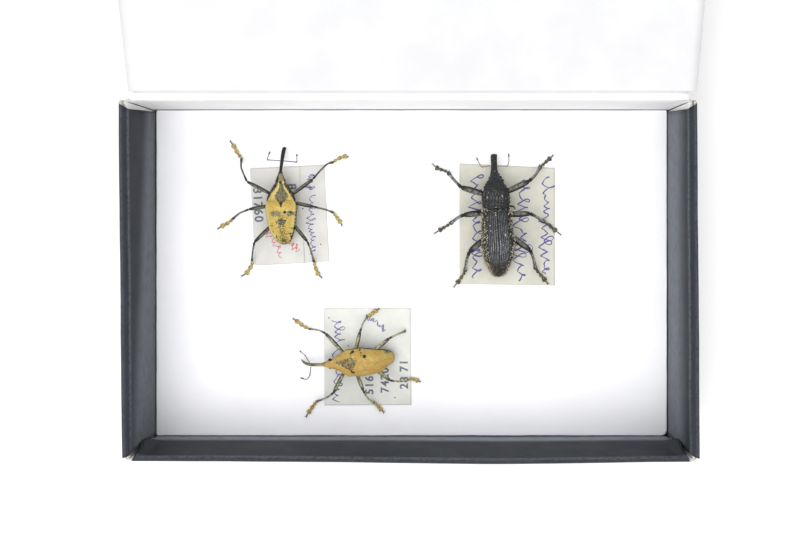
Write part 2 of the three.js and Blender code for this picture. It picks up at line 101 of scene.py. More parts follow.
# ---- curves -------------------------------------------------------------------------------------
def smooth_through(x, stations, values):
    """Monotone cubic through (stations, values) at x: slopes are harmonic means of the neighbouring
    chords' slopes, and zero at a turning point, so that it never overshoots."""
    xs = np.asarray(stations, float)
    ys = np.asarray(values, float)
    gap = np.diff(xs)
    chord = np.diff(ys) / gap
    slope = np.zeros_like(ys)
    same = chord[:-1] * chord[1:] > 0
    safe = np.where(same, chord[:-1] + chord[1:], 1.0)
    slope[1:-1] = np.where(same, 2 * chord[:-1] * chord[1:] / safe, 0.0)
    slope[0] = chord[0]
    slope[-1] = chord[-1]
    span = np.clip(np.searchsorted(xs, x, side="right") - 1, 0, len(xs) - 2)
    t = (x - xs[span]) / gap[span]
    rise = ys[span + 1] - ys[span]
    start = slope[span] * gap[span]
    end = slope[span + 1] * gap[span]
    return ys[span] + t * start + t**2 * (3 * rise - 2 * start - end) + t**3 * (start + end - 2 * rise)


def along(path):
    """Distance along a path at each of its points."""
    return np.concatenate([[0.0], np.cumsum(np.linalg.norm(np.diff(path, axis=0), axis=1))])


def path_through(points, count):
    """A smooth path of count points through the given ones, evenly spaced along their chords."""
    p = np.asarray(points, float)
    reach = along(p)
    at = np.linspace(0, reach[-1], count)
    return np.stack([smooth_through(at, reach, p[:, axis]) for axis in range(p.shape[1])], axis=1)


def folded_path(corners, spacing=1.5, arc_steps=6):
    """A flat path of straight runs and round folds: each corner is (a, b, radius)."""
    points = []
    for number, (a, b, radius) in enumerate(corners):
        corner = np.array([a, b], float)
        if radius == 0:
            points.append(corner)
            continue
        before = np.array(corners[number - 1][:2], float) - corner
        after = np.array(corners[number + 1][:2], float) - corner
        start = corner + before / np.linalg.norm(before) * radius
        end = corner + after / np.linalg.norm(after) * radius
        turn = np.linspace(0, math.pi / 2, arc_steps + 1)[:, None]
        points.extend(corner + (start - corner) * (1 - np.sin(turn)) + (end - corner) * (1 - np.cos(turn)))
    bends = np.array(points)
    runs = np.linalg.norm(np.diff(bends, axis=0), axis=1)
    pieces = []
    for first, last, run in zip(bends, bends[1:], runs):
        share = np.linspace(0, 1, max(1, round(run / spacing)), endpoint=False)[:, None]
        pieces.append(first + (last - first) * share)
    return np.vstack([*pieces, bends[-1:]])


def wave(position, length, seed):
    """Gentle unevenness between about -1 and 1: three sines of falling size."""
    shifts = np.random.default_rng(seed).uniform(0, 2 * math.pi, 3)
    total = sum(
        np.sin(2 * math.pi * position / length * ratio + shift) / ratio
        for ratio, shift in zip((1.0, 2.3, 4.1), shifts)
    )
    return total / 1.5


def hump(value, middle, width):
    """A smooth bump of height 1 at middle, falling off over width."""
    return np.exp(-(((value - middle) / width) ** 2))


def ramp(value, low, high):
    """0 below low, 1 above high, and smooth between."""
    t = np.clip((value - low) / (high - low), 0, 1)
    return t * t * (3 - 2 * t)


def unit(vectors):
    """Vectors scaled to a length of 1."""
    return vectors / np.maximum(np.linalg.norm(vectors, axis=-1, keepdims=True), 1e-9)


def turned(x, y, degrees):
    """x and y turned about the vertical."""
    angle = math.radians(degrees)
    return x * math.cos(angle) - y * math.sin(angle), x * math.sin(angle) + y * math.cos(angle)


# ---- meshes -------------------------------------------------------------------------------------
NO_QUADS = np.zeros((0, 4), int)
NO_TRIANGLES = np.zeros((0, 3), int)


def surface(x, y, z):
    """Rows and columns of points from three arrays, each of which may be a single row or column."""
    return np.stack(np.broadcast_arrays(x, y, z), axis=-1)


def surface_faces(rows, columns, wrap=False):
    """Four-cornered faces between a surface's neighbouring rows and columns of points."""
    row, column = np.indices((rows - 1, columns if wrap else columns - 1))
    near = row * columns
    beside = (column + 1) % columns
    corners = [near + column, near + beside, near + columns + beside, near + columns + column]
    return np.stack(corners, axis=-1).reshape(-1, 4)


def surface_border(rows, columns):
    """The numbers of a surface's outermost points, once round."""
    number = np.arange(rows * columns).reshape(rows, columns)
    return np.concatenate([number[0, :-1], number[:-1, -1], number[-1, :0:-1], number[:0:-1, 0]])


def surface_normals(points, wrap=False):
    """Unit normals of a surface: the way across its columns crossed with the way down its rows."""
    down = np.gradient(points, axis=0)
    if wrap:
        over = np.roll(points, -1, axis=1) - np.roll(points, 1, axis=1)
    else:
        over = np.gradient(points, axis=1)
    return unit(np.cross(over, down))


def part(points, quads=NO_QUADS, triangles=NO_TRIANGLES, material=0, masks=None, flat=False):
    """A bit of skin: points, faces, a value per point for each mask and, for the whole or for each
    quad, its material's number and whether it is shaded flat."""
    return {"points": points, "quads": quads, "triangles": triangles, "material": material,
            "masks": masks or {}, "flat": flat}


def closed_skin(points, material=0, masks=None):
    """A tube of rows of points, each row a ring, with a point in the middle of each end to close it."""
    rows, columns = points.shape[:2]
    count = rows * columns
    ring = np.arange(columns)
    beside = (ring + 1) % columns
    far = count - columns
    start_fan = np.stack([np.full(columns, count), beside, ring], axis=1)
    end_fan = np.stack([np.full(columns, count + 1), far + ring, far + beside], axis=1)
    grown = {}
    for name, values in (masks or {}).items():
        full = np.broadcast_to(values, (rows, columns))
        grown[name] = np.concatenate([full.ravel(), [full[0].mean(), full[-1].mean()]])
    every = np.vstack([points.reshape(-1, 3), points[0].mean(0), points[-1].mean(0)])
    fans = np.vstack([start_fan, end_fan])
    return part(every, surface_faces(rows, columns, wrap=True), fans, material, grown)


def sheet(points, thickness, front=0, back=0, edge=0, masks=None):
    """A sheet of real thickness about a surface of middle points: half a thickness out along the
    normal to the front, as much to the back, and the cut edge between."""
    rows, columns = points.shape[:2]
    count = rows * columns
    out = surface_normals(points) * thickness / 2
    border = surface_border(rows, columns)
    beside = np.roll(border, -1)
    rim = np.stack([border, border + count, beside + count, beside], axis=1)
    faces = surface_faces(rows, columns)
    sizes = [len(faces), len(faces), len(rim)]
    doubled = {}
    for name, values in (masks or {}).items():
        doubled[name] = np.tile(np.broadcast_to(values, (rows, columns)).ravel(), 2)
    return part(
        np.concatenate([points + out, points - out]).reshape(-1, 3),
        np.vstack([faces, faces[:, ::-1] + count, rim]),
        material=np.repeat([front, back, edge], sizes),
        masks=doubled,
        flat=np.repeat([False, False, True], sizes),
    )


def join(parts):
    """One set of arrays from several parts, each one's points numbered on from the one before. A mask
    that a part lacks is 0 there, and quads come before triangles."""
    sizes = [len(one["points"]) for one in parts]
    starts = np.cumsum([0, *sizes[:-1]])
    points = np.vstack([one["points"] for one in parts])
    quads = np.vstack([one["quads"] + start for one, start in zip(parts, starts)])
    triangles = np.vstack([one["triangles"] + start for one, start in zip(parts, starts)])
    material = [np.broadcast_to(one["material"], len(one["quads"])) for one in parts]
    material += [np.full(len(one["triangles"]), one["material"]) for one in parts if len(one["triangles"])]
    flat = [np.broadcast_to(one["flat"], len(one["quads"])) for one in parts]
    flat.append(np.zeros(len(triangles), bool))
    names = dict.fromkeys(name for one in parts for name in one["masks"])
    masks = {
        name: np.concatenate([one["masks"].get(name, np.zeros(size)) for one, size in zip(parts, sizes)])
        for name in names
    }
    return points, quads, triangles, np.concatenate(material), np.concatenate(flat), masks


def link(name, data):
    """An object for some data, in the scene."""
    made = bpy.data.objects.new(name, data)
    bpy.context.scene.collection.objects.link(made)
    return made


def piece(name, parts, materials, body, replaces=None):
    """A mesh object in metres from parts in millimetres, riding on a body of the frame if one is given."""
    points, quads, triangles, face_material, flat, masks = join(parts)
    mesh = bpy.data.meshes.new(name)
    mesh.vertices.add(len(points))
    mesh.vertices.foreach_set("co", (points * MM).astype(np.float32).ravel())
    corners = np.concatenate([quads.ravel(), triangles.ravel()])
    sizes = np.repeat([4, 3], [len(quads), len(triangles)])
    mesh.loops.add(len(corners))
    mesh.loops.foreach_set("vertex_index", corners.astype(np.int32))
    mesh.polygons.add(len(sizes))
    mesh.polygons.foreach_set("loop_start", np.concatenate([[0], np.cumsum(sizes)[:-1]]).astype(np.int32))
    mesh.polygons.foreach_set("material_index", face_material.astype(np.int32))
    mesh.polygons.foreach_set("use_smooth", ~flat)
    for mask, values in masks.items():
        mesh.attributes.new(mask, "FLOAT", "POINT").data.foreach_set("value", values.astype(np.float32))
    mesh.update(calc_edges=True)
    mesh.validate()
    for material in materials:
        mesh.materials.append(material)
    made = link(name, mesh)
    if body:
        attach(made, body)
    if replaces:
        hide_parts(replaces)
    return made


# ---- materials ----------------------------------------------------------------------------------
def colour(code):
    """Linear colour from an sRGB hex code."""
    values = [int(code[i:i + 2], 16) / 255 for i in (0, 2, 4)]
    return (*[v / 12.92 if v <= 0.04045 else ((v + 0.055) / 1.055) ** 2.4 for v in values], 1.0)


def new_material(name, **constants):
    """A principled material with its constant values, and its tree and shader node."""
    made = bpy.data.materials.new(name)
    made.use_nodes = True
    tree = made.node_tree
    shader = tree.nodes["Principled BSDF"]
    for socket, value in constants.items():
        shader.inputs[socket.replace("_", " ")].default_value = value
    return made, tree, shader


def node(tree, kind, inputs=(), output=0, **settings):
    """Adds one shader node and gives one of its outputs. Its settings are its own fields, and each
    input, in order or by name, is a value or another node's output."""
    made = tree.nodes.new("ShaderNode" + kind)
    for field, value in settings.items():
        setattr(made, field, value)
    for socket, value in inputs.items() if isinstance(inputs, dict) else enumerate(inputs):
        if isinstance(value, bpy.types.NodeSocket):
            tree.links.new(value, made.inputs[socket])
        else:
            made.inputs[socket].default_value = value
    return made.outputs[output]


def stepped(tree, value, low, high, to_low=0.0, to_high=1.0):
    """A value's range from low to high carried onto another, smoothly and clamped."""
    return node(tree, "MapRange", [value, low, high, to_low, to_high], interpolation_type="SMOOTHSTEP")


def grain(tree, size_mm, detail=3.0, roughness=0.55, stretch=(1, 1, 1)):
    """Unevenness of a real size on the piece's own coordinates, finer along an axis with more stretch."""
    place = node(tree, "Mapping", {0: node(tree, "TexCoord", output="Object"), 3: stretch})
    return node(tree, "TexNoise", {
        "Vector": place, "Scale": 1 / (size_mm * MM), "Detail": detail, "Roughness": roughness,
    }, "Fac")


def patches(tree, size_mm, detail, low, high, to_low=0.0, to_high=1.0, roughness=0.55, stretch=(1, 1, 1)):
    """Soft-edged patches of a real size, where the grain lies above low."""
    return stepped(tree, grain(tree, size_mm, detail, roughness, stretch), low, high, to_low, to_high)


def wobble(tree, size_mm, detail, roughness, reach):
    """Grain about zero, half its reach up and down, that breaks up a mask's edge."""
    about_zero = node(tree, "Math", [grain(tree, size_mm, detail, roughness), 0.5], operation="SUBTRACT")
    return node(tree, "Math", [about_zero, reach], operation="MULTIPLY")


def pores(tree, size_mm, **settings):
    """The distance from the nearest of scattered points, or from the net between them, a real size apart."""
    place = node(tree, "TexCoord", output="Object")
    return node(tree, "TexVoronoi", {"Vector": place, "Scale": 1 / (size_mm * MM)}, "Distance", **settings)


def masked(tree, name, factor=1.0):
    """A factor times the value that the mesh holds at each of its points."""
    held = node(tree, "Attribute", output="Fac", attribute_name=name)
    return node(tree, "Math", [held, factor], operation="MULTIPLY")


def broken(tree, name, edge, low, high, top=1.0, weight=1.0):
    """A mask with a ragged edge: its value and the edge's together, from low to high."""
    both = node(tree, "Math", [masked(tree, name, weight), edge], operation="ADD")
    return stepped(tree, both, low, high, 0.0, top)


def coats(tree, base, *layers):
    """A base colour with others laid over it in turn, each as far as its factor goes."""
    result = colour(base)
    for factor, code in layers:
        result = node(tree, "Mix", {0: factor, 6: result, 7: colour(code)}, 2, data_type="RGBA")
    return result


def dress(tree, shader, base, height=None, depth_mm=0.0, strength=1.0):
    """Gives a shader its colour and, where there is a height, fine relief of a real depth."""
    tree.links.new(base, shader.inputs["Base Color"])
    if height is not None:
        relief = node(tree, "Bump", {"Height": height, "Distance": depth_mm * MM, "Strength": strength})
        tree.links.new(relief, shader.inputs["Normal"])


def charcoal_card():
    """Solid-dyed folding board: a soft even grey-black with short pale fibres and a low sheen. Its folds are
    lighter, partly rubbed wear and partly a painted highlight, and its inner panels get painted light near
    the foam."""
    made, tree, shader = new_material("charcoal_folding_board", IOR=1.5, Specular_IOR_Level=0.14)
    cloud = patches(tree, 9.0, 4.0, 0.3, 0.7)
    fibre = patches(tree, 0.55, 2.0, 0.58, 0.72, 0.0, 0.22, stretch=(1, 3.2, 1))
    # painted highlight, partly wear: the fold mask lightens the board along its creases
    fold_wear_and_highlight = masked(tree, "fold", patches(tree, 0.9, 5.0, 0.3, 0.62, 0.135, 0.45))
    # painted light: the inner panels are made lighter towards the foam
    wall_light_factor = masked(tree, "scuff", patches(tree, 2.5, 4.0, 0.2, 0.6, 0.7, 1.0))
    base = coats(tree, "25282E", (cloud, "2D3036"), (fibre, "565A61"), (fold_wear_and_highlight, "7A7E86"), (wall_light_factor, "92979F"))
    tree.links.new(stepped(tree, cloud, 0, 1, 0.56, 0.66), shader.inputs["Roughness"])
    dress(tree, shader, base, grain(tree, 0.4, 4.0), 0.03)
    return made


def white_board(name, light, shade):
    """The white clay-coated face of the board: bright, faintly uneven, half matt."""
    made, tree, shader = new_material(name, IOR=1.45, Roughness=0.6, Specular_IOR_Level=0.3)
    base = coats(tree, light, (patches(tree, 14.0, 4.0, 0.3, 0.7), shade))
    dress(tree, shader, base, grain(tree, 0.6), 0.015)
    return made


def raw_board_edge():
    """The cut edge of the board: pale pulp in thin layers between the dyed skins."""
    made, tree, shader = new_material("cut_board_edge", Roughness=0.9)
    dress(tree, shader, coats(tree, "D9D7D0", (patches(tree, 0.35, 3.0, 0.35, 0.7), "8E8D8A")))
    return made


def closed_cell_foam():
    """Cross-linked polyethylene foam: dead white and matt, skinned with fine cells."""
    depth = 0.8 * MM
    made, tree, shader = new_material("white_polyethylene_foam", Roughness=0.93, IOR=1.45,
                                      Subsurface_Weight=0.08, Subsurface_Radius=(depth, depth, depth))
    cell = pores(tree, 0.55)
    cloud = patches(tree, 22.0, 3.0, 0.3, 0.7)
    # painted shade: the colour darkens a little in each cell's hollow, where the bump sinks
    base = coats(tree, "F9F9FC", (cloud, "F4F4F8"), (stepped(tree, cell, 0.0, 0.6, 0.2, 0.0), "EDEDF0"))
    dress(tree, shader, base, stepped(tree, cell, 0.0, 0.6), 0.03, 0.4)
    return made


def label_paper(name, light, shade):
    """Unbleached ledger paper gone slightly grey or cream: matt, softly mottled, with faint fibres."""
    made, tree, shader = new_material(name, Roughness=0.85, IOR=1.47)
    fibre = patches(tree, 0.5, 2.0, 0.6, 0.8, 0.0, 0.3, stretch=(2.5, 1, 1))
    base = coats(tree, light, (patches(tree, 6.0, 5.0, 0.3, 0.7), shade), (fibre, "BDBAB0"))
    dress(tree, shader, base, grain(tree, 0.5, 4.0), 0.02)
    return made


def ink(name, code, fade, strength):
    """Ink sunk into paper: its colour breaks up a little where the pen or stamp ran dry."""
    made, tree, shader = new_material(name, Roughness=0.6)
    dress(tree, shader, coats(tree, code, (patches(tree, 0.7, 3.0, 0.45, 0.75, 0.0, strength), fade)))
    return made


def scaled_cuticle(name, main, orange, pale, grey, dark):
    """Weevil armour under a coat of fine waxy scales: powdery and matt, with bare dark cuticle showing
    through in mottled patches, in netted lines and in loose specks."""
    made, tree, shader = new_material(name, IOR=1.45, Roughness=0.7, Specular_IOR_Level=0.3)
    ragged = wobble(tree, 0.7, 5.0, 0.7, 1.6)
    line_between = stepped(tree, pores(tree, 0.62, feature="DISTANCE_TO_EDGE"), 0.05, 0.2, 0.8, 0.0)
    bare = masked(tree, "net", line_between)
    for more in (broken(tree, "speck", grain(tree, 0.4, 2.0), 0.72, 0.84, 0.8, weight=0.3),
                 broken(tree, "dark", ragged, 0.38, 0.85)):
        bare = node(tree, "Math", [bare, more], operation="MAXIMUM")
    base = coats(
        tree, main,
        (patches(tree, 2.2, 3.0, 0.35, 0.65, 0.0, 0.4), orange),
        (patches(tree, 1.3, 4.0, 0.5, 0.68, 0.0, 0.75, 0.65), pale),
        (patches(tree, 0.8, 4.0, 0.5, 0.66, 0.0, 0.45, 0.7), grey),
        (masked(tree, "pale"), pale),
        (masked(tree, "orange"), orange),
        (broken(tree, "grey", ragged, 0.35, 0.6), grey),
        (patches(tree, 0.45, 4.0, 0.35, 0.7, 0.0, 0.35), pale),
        (node(tree, "Math", [bare, 0.97], operation="MULTIPLY"), dark),
        (masked(tree, "fleck"), "D6D0B8"),
    )
    dress(tree, shader, base, grain(tree, 0.45, 4.0), 0.08)
    return made


def black_cuticle_painted_sheen():
    """Bare black cuticle, coarsely punctured, with a half gloss and a painted grey sheen on its ribs;
    clay-coloured dust and pale grains cling to its sides."""
    made, tree, shader = new_material("punctured_black_cuticle", IOR=1.5, Specular_IOR_Level=0.35)
    ragged = wobble(tree, 0.5, 4.0, 0.7, 1.8)
    dust = broken(tree, "dust", ragged, 0.4, 0.9, 0.8)
    base = coats(
        tree, "0F1011",
        (patches(tree, 0.5, 4.0, 0.35, 0.65, roughness=0.7), "242628"),
        # painted sheen laid on the ribs and pronotum
        (masked(tree, "painted_sheen"), "A0A3A8"),
        (dust, "5A513C"),
        (broken(tree, "bead", ragged, 0.34, 0.74), "A39F88"),
        (broken(tree, "fleck", ragged, 0.5, 0.8), "AAA89E"),
    )
    tree.links.new(stepped(tree, dust, 0.0, 0.6, 0.34, 0.8), shader.inputs["Roughness"])
    dress(tree, shader, base, pores(tree, 0.5), 0.22)
    return made


def leg_cuticle(name, code, bloom_and_highlight, roughness):
    """Leg cuticle: dark and smooth, its paler upper streak partly a bloom of hairs and wax, partly a painted
    highlight.
    """
    made, tree, shader = new_material(name, IOR=1.5, Roughness=roughness, Specular_IOR_Level=0.35)
    streak = patches(tree, 0.7, 4.0, 0.38, 0.58, 0.1, 1.0, 0.65)
    dress(tree, shader, coats(tree, code, (masked(tree, "bloom_and_highlight", streak), bloom_and_highlight)), grain(tree, 0.25), 0.02)
    return made


def plain_cuticle(name, code, second, roughness):
    """Small horny parts, such as claws, snout and feelers: one colour that darkens in patches."""
    made, tree, shader = new_material(name, IOR=1.5, Roughness=roughness, Specular_IOR_Level=0.35)
    base = coats(tree, code, (patches(tree, 0.5, 3.0, 0.35, 0.65), second))
    dress(tree, shader, base, grain(tree, 0.3), 0.03)
    return made


# The numbers that faces go by: the board's faces and cut edge, and the inks that follow a label's paper.
CARD_FACES = [charcoal_card(), white_board("white_coated_board", "EBEBEA", "E5E5E5"), raw_board_edge()]
# painted shade: the lid's lining is the same white board as the tray's, in a darker copy so that it comes out
# less bright where it faces the light
LID_FACES = [CARD_FACES[0], white_board("white_board_shaded_for_lid", "D3D3D4", "CDCDCF"), CARD_FACES[2]]
BLACK, WHITE, RAW = range(3)
INKS = [
    ink("violet_pen_ink", "4C428C", "7A72A8", 0.4),
    ink("red_pen_ink", "C2606E", "CE8C98", 0.6),
    ink("grey_stamp_ink", "5A5F6A", "8E939C", 0.8),
    plain_cuticle("pin_hole_shadow", "3A342E", "1E1B18", 0.9),
]
VIOLET, RED, STAMP, HOLE = range(1, 5)


# ---- the carton ---------------------------------------------------------------------------------
def card(points, faces=(BLACK, WHITE, RAW), thickness=CARD, **masks):
    """A sheet of board about its middle points, with how far its folds are lightened, by wear and by a
    painted highlight, and how much painted light it gets near the foam.
    """
    return sheet(points, thickness, *faces, masks)


def below_rim(height):
    """How far down a wall a height is, as a share of the way from the rim to the foam."""
    return (RIM - height) / (RIM - FOAM_TOP)


def rolled_section(inside, radius):
    """A wall's fold, as (inward, height): up the outer panel, over the rim and down the inner panel."""
    return folded_path([
        (PANEL_INSET, CARD / 2, 0), (PANEL_INSET, CARD_TOP, radius),
        (inside, CARD_TOP, radius), (inside, CARD, 0),
    ])


def side_wall(side):
    """Card rolled over the rim, its section carried front to back: outer panel, flat rim and inner
    panel, the inner one bowed inwards a little; the rim and the inner panel are cut short of the
    corners."""
    bow_in = 0.55
    bow_out = 0.25
    section = rolled_section(SIDE_WALL - CARD / 2, 0.75)
    inward, height = section.T
    reach = along(section)
    rim_start = CARD_TOP - CARD / 2
    rim_end = rim_start + SIDE_WALL - CARD
    marks = [0, rim_start - 1.5, rim_start, rim_end, rim_end + 1.5, reach[-1]]
    front_end = np.interp(reach, marks, [-51.7, -51.7, -50.9, -50.0, -49.9, -50.3])
    rear_end = np.interp(reach, marks, [51.7, 51.7, 50.3, 49.0, 49.1, 51.0])
    y = front_end + (rear_end - front_end) * np.linspace(0, 1, 61)[:, None]
    inner = ramp(reach, rim_end, rim_end + 0.5)
    middle = 1 - (y / REAR) ** 4
    drop = below_rim(height)
    bow = inner * bow_in * np.sin(math.pi * np.clip(drop, 0, 1)) * middle
    bow = bow - (1 - inner) * bow_out * np.sin(math.pi * height / RIM) * middle
    bow = bow + 0.06 * wave(y, 60, 3 + side)
    points = surface(side * (HALF_WIDTH - inward - bow), y, height)[::-side]
    # painted highlight, partly wear: the rim's inner crease is lightened most, its outer crease half as much
    fold = np.maximum(0.5 * hump(reach, rim_start + 0.2, 0.3), hump(reach, rim_end, 0.36))
    # painted light: the inner panels lighten towards the foam, from near the top on the right and, on the
    # left, from lower down towards the rear
    start = 0.1 if side > 0 else 0.22 + 0.28 * y / REAR
    scuff = inner * (0.4 + 0.06 * side) * ramp(drop, start, start + 0.4 + 0.07 * side)
    return card(points, fold=fold, scuff=scuff)


def front_wall():
    """The same fold pressed flat: outer panel, tight roll and an inner panel whose two ends curl
    inwards."""
    curl_depth = 2.0
    bow_in = 0.55
    section = rolled_section(FRONT_WALL - CARD / 2, 0.36)
    inward, height = section.T
    reach = along(section)
    rolled = CARD_TOP - 0.4
    over = rolled + 0.9
    marks = [0, rolled - 2.0, rolled, over, over + 5, over + 9, reach[-1]]
    half = np.interp(reach, marks, [82.1, 82.1, 79.4, 79.0, 78.5, 79.3, 79.5])
    runs = [(-1, -0.9, 14), (-0.88, 0.88, 60), (0.9, 1, 14)]
    x = half * np.concatenate([np.linspace(*run) for run in runs])[:, None]
    inner = ramp(reach, over, over + 0.6)
    drop = np.clip(below_rim(height), 0, 1)
    curl = curl_depth * ramp(np.abs(x), 75.5, 79.5) * np.sin(math.pi * np.clip(drop * 1.3, 0, 1))
    bulge = inner * (bow_in * np.sin(math.pi * drop) + curl)
    y = FRONT + inward + bulge + 0.05 * wave(x, 70, 8)
    # painted highlight, partly wear: the inner crease is lightened most, the roll less
    fold = np.maximum(0.3 * hump(reach, rolled, 0.3), hump(reach, over, 0.36))
    # painted light: the inner panel is made lighter near its foot
    scuff = 0.75 * inner * ramp(drop, 0.68, 0.84)
    return card(surface(x, y, height)[::-1], fold=fold, scuff=scuff)


def rear_wall():
    """One sheet seen in plan: flap, fold, rear wall, fold, flap, drawn straight up; the flaps' tops
    slope."""
    flap_end = 14.0
    rear = REAR - CARD / 2
    plan = folded_path([
        (-FLAP_X, flap_end, 0), (-FLAP_X, rear, 0.9), (FLAP_X, rear, 0.9), (FLAP_X, flap_end, 0),
    ], spacing=2.5)
    x, y = plan.T
    wall = np.abs(x) < INNER_SIDE
    top = np.where(wall, RIM - 1.2, RIM - 1.6 - 0.04 * (REAR - y))
    share = np.linspace(0, 1, 13)[:, None]
    bow = 0.15 * np.sin(math.pi * share) * wall * (1 - (x / INNER_SIDE) ** 2)
    return card(surface(x, y + bow, CARD + (top - CARD) * share)[::-1], fold=0.0)


def crease_strip():
    """The rear wall's top bent back into the narrow strip between the lid's creases."""
    rear = REAR - CARD / 2
    section = folded_path([
        (rear, RIM - 2.2, 0), (rear, CARD_TOP, 0.35), (STRIP_EDGE, CARD_TOP - 0.05, 0),
    ], spacing=0.5)
    x = np.linspace(-INNER_SIDE, INNER_SIDE, 41)[:, None]
    y = section[:, 0] + 0.04 * wave(x, 45, 21)
    # painted highlight, partly wear, along the strip's bend
    return card(surface(x, y, section[:, 1]), fold=hump(along(section), 1.9, 0.4))


def tray_floor():
    """A flat sheet: dyed face down, white face up."""
    x = np.linspace(-HALF_WIDTH + 0.1, HALF_WIDTH - 0.1, 41)[:, None]
    y = np.linspace(FRONT + 0.1, REAR - 0.1, 27)
    return card(surface(x, y, CARD / 2), fold=0.0)


def front_flap(side):
    """One of the front wall's corner flaps, folded back inside the hollow side wall; its top slopes."""
    y = np.linspace(FRONT + 0.6, FRONT + 38, 12)[:, None]
    top = RIM - 1.6 - 0.05 * (y - FRONT)
    z = CARD + (top - CARD) * np.linspace(0, 1, 9)
    return card(surface(side * FLAP_X, y, z)[::side], (WHITE, BLACK, RAW), fold=0.0)


def corner_slot_shade(side):
    """A dark strip in a rear corner, where the rear wall turns into its flap: painted shade for the shadowed
    slot there, a thin sheet dyed black on every face that cuts the corner off, widest at half its height."""
    share = np.linspace(0, 1, 17)
    across = np.array([0.0, 1.0])[:, None] * (0.14 + 0.26 * np.sin(math.pi * share))
    z = CARD + (RIM - 1.7 - CARD) * share
    points = surface(side * (80.75 - across), REAR - CARD - 0.4 + across, z)
    return card(points[::-side], (BLACK, BLACK, BLACK), 0.06, fold=0.0)


def lean(points):
    """The worn tray is out of square: its rims lean, the left one out at the rear, the right one out at
    the front, and the front one bows out right of its middle, all in proportion to their height."""
    x, y, z = points.T
    front_share = (REAR - y) / (2 * REAR)
    left = (1.07 * front_share - 0.97) * ramp(-x, 70, 79)
    right = 0.83 * front_share * ramp(x, 70, 79)
    bow = 0.78 * hump(x, 24, 45) * ramp(-y, 44, 50)
    return points + surface(left + right, -bow, 0.0) * (z / RIM)[:, None]


def build_tray():
    """Floor, walls, flaps and slots, all leaning, and the crease strip, which doesn't."""
    parts = [tray_floor(), front_wall(), rear_wall()]
    for paired in (front_flap, corner_slot_shade, side_wall):
        parts += [paired(side) for side in (-1, 1)]
    for one in parts:
        one["points"] = lean(one["points"])
    parts.append(crease_strip())
    piece("folded_carton_tray", parts, CARD_FACES, "box", "carton_tray")


def lid_place(out, up, x):
    """Places lid measures: out along the lid from its crease, up from its hinge plane, x across. The
    lid sits a little right of the tray's middle."""
    y = HINGE[1] + out * math.cos(LID_RISE) - up * math.sin(LID_RISE)
    z = HINGE[2] + out * math.sin(LID_RISE) + up * math.cos(LID_RISE)
    return surface(x + LID_OFFSET, y, z)


def lid_panel():
    """The lid, a flat sheet that bows outwards a little in the middle."""
    x = np.linspace(-LID_HALF_WIDTH, LID_HALF_WIDTH, 61)[:, None]
    out = np.concatenate([np.linspace(0.35, 4, 8), np.linspace(6, LID_LENGTH, 40)])
    bow = 0.7 * np.sin(math.pi * out / LID_LENGTH) * (1 - (x / LID_HALF_WIDTH) ** 4)
    up = -LID_DEPTH - bow - 0.12 * hump(out, 1.6, 0.7)
    # painted highlight, partly wear, at the fold into the tuck flap
    return card(lid_place(out, up, x), fold=hump(out, LID_LENGTH, 1.0))


def tuck_flap():
    """The lid's front flap, folded at a right angle over a small round, with two round corners."""
    end = LID_LENGTH - CARD / 2
    section = folded_path([
        (LID_LENGTH - 2.0, -LID_DEPTH, 0), (end, -LID_DEPTH, 0.5), (end, TUCK_DEPTH, 0),
    ], spacing=0.8)
    past = np.clip(section[:, 1] - (TUCK_DEPTH - TUCK_CORNER), 0, TUCK_CORNER) / TUCK_CORNER
    half = TUCK_HALF_WIDTH - TUCK_CORNER * (1 - np.sqrt(np.clip(1 - past**2, 0, 1)))
    x = np.linspace(-1, 1, 61)[:, None] * half
    # painted highlight, partly wear, along the flap's fold
    return card(lid_place(section[:, 0], section[:, 1], x), fold=hump(along(section), 1.6, 0.6))


def build_lid():
    """The lid's panel with its tuck flap."""
    piece("folded_carton_lid", [lid_panel(), tuck_flap()], LID_FACES, "lid", "carton_lid")


def build_crease():
    """The bending bit of card between the strip and the lid, which follows both and sags a little."""
    x = np.linspace(LID_OFFSET - INNER_SIDE + 0.1, INNER_SIDE - 0.1, 41)[:, None]
    start = np.array([STRIP_EDGE - 0.25, CARD_TOP - 0.05])
    end = lid_place(0.75, -LID_DEPTH, 0.0)[1:]
    share = np.linspace(0, 1, 7)
    y = start[0] + (end[0] - start[0]) * share
    z = start[1] + (end[1] - start[1]) * share - 0.12 * np.sin(math.pi * share)
    # painted highlight, partly wear, over the whole bend
    bend = card(surface(x, y, z), thickness=CARD * 0.8, fold=0.6)
    crease = piece("lid_crease", [bend], LID_FACES, None)
    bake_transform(crease)


# ---- foam and labels ----------------------------------------------------------------------------
def foam_axis(count, half, thickness):
    """Positions across the pad and how far each lies below its top: a flat run and, at either end, a
    small round and the side down to the base."""
    turn = np.linspace(0, math.pi / 2, 5)
    over = np.concatenate([FOAM_ROUND * np.sin(turn), [FOAM_ROUND, FOAM_ROUND]])
    drop = np.concatenate([FOAM_ROUND * (1 - np.cos(turn)), [thickness * 0.6, thickness]])
    step = np.linspace(-1, 1, count) * (half - FOAM_ROUND)
    at = np.concatenate([step[0] - over[:0:-1], step, step[-1] + over[1:]])
    return at, np.concatenate([drop[:0:-1], np.zeros(count), drop[1:]])


def rounded_corners(x, y, half, radius):
    """Draws what lies past a corner's round back onto it, straight towards the round's centre."""
    past_x = np.clip(np.abs(x) - (half[0] - radius), 0, None)
    past_y = np.clip(np.abs(y) - (half[1] - radius), 0, None)
    reach = np.hypot(past_x, past_y)
    pull = np.where(reach > radius, radius / np.maximum(reach, 1e-9), 1.0)
    x = np.sign(x) * (np.minimum(np.abs(x), half[0] - radius) + past_x * pull)
    y = np.sign(y) * (np.minimum(np.abs(y), half[1] - radius) + past_y * pull)
    return x, y


def cut_edge(position, long_mm, short_mm, seed):
    """How far a cut edge lies in from its line, wandering by a few hundredths along it."""
    return 0.04 + 0.03 * wave(position, long_mm, seed) + 0.01 * wave(position, short_mm, seed + 1)


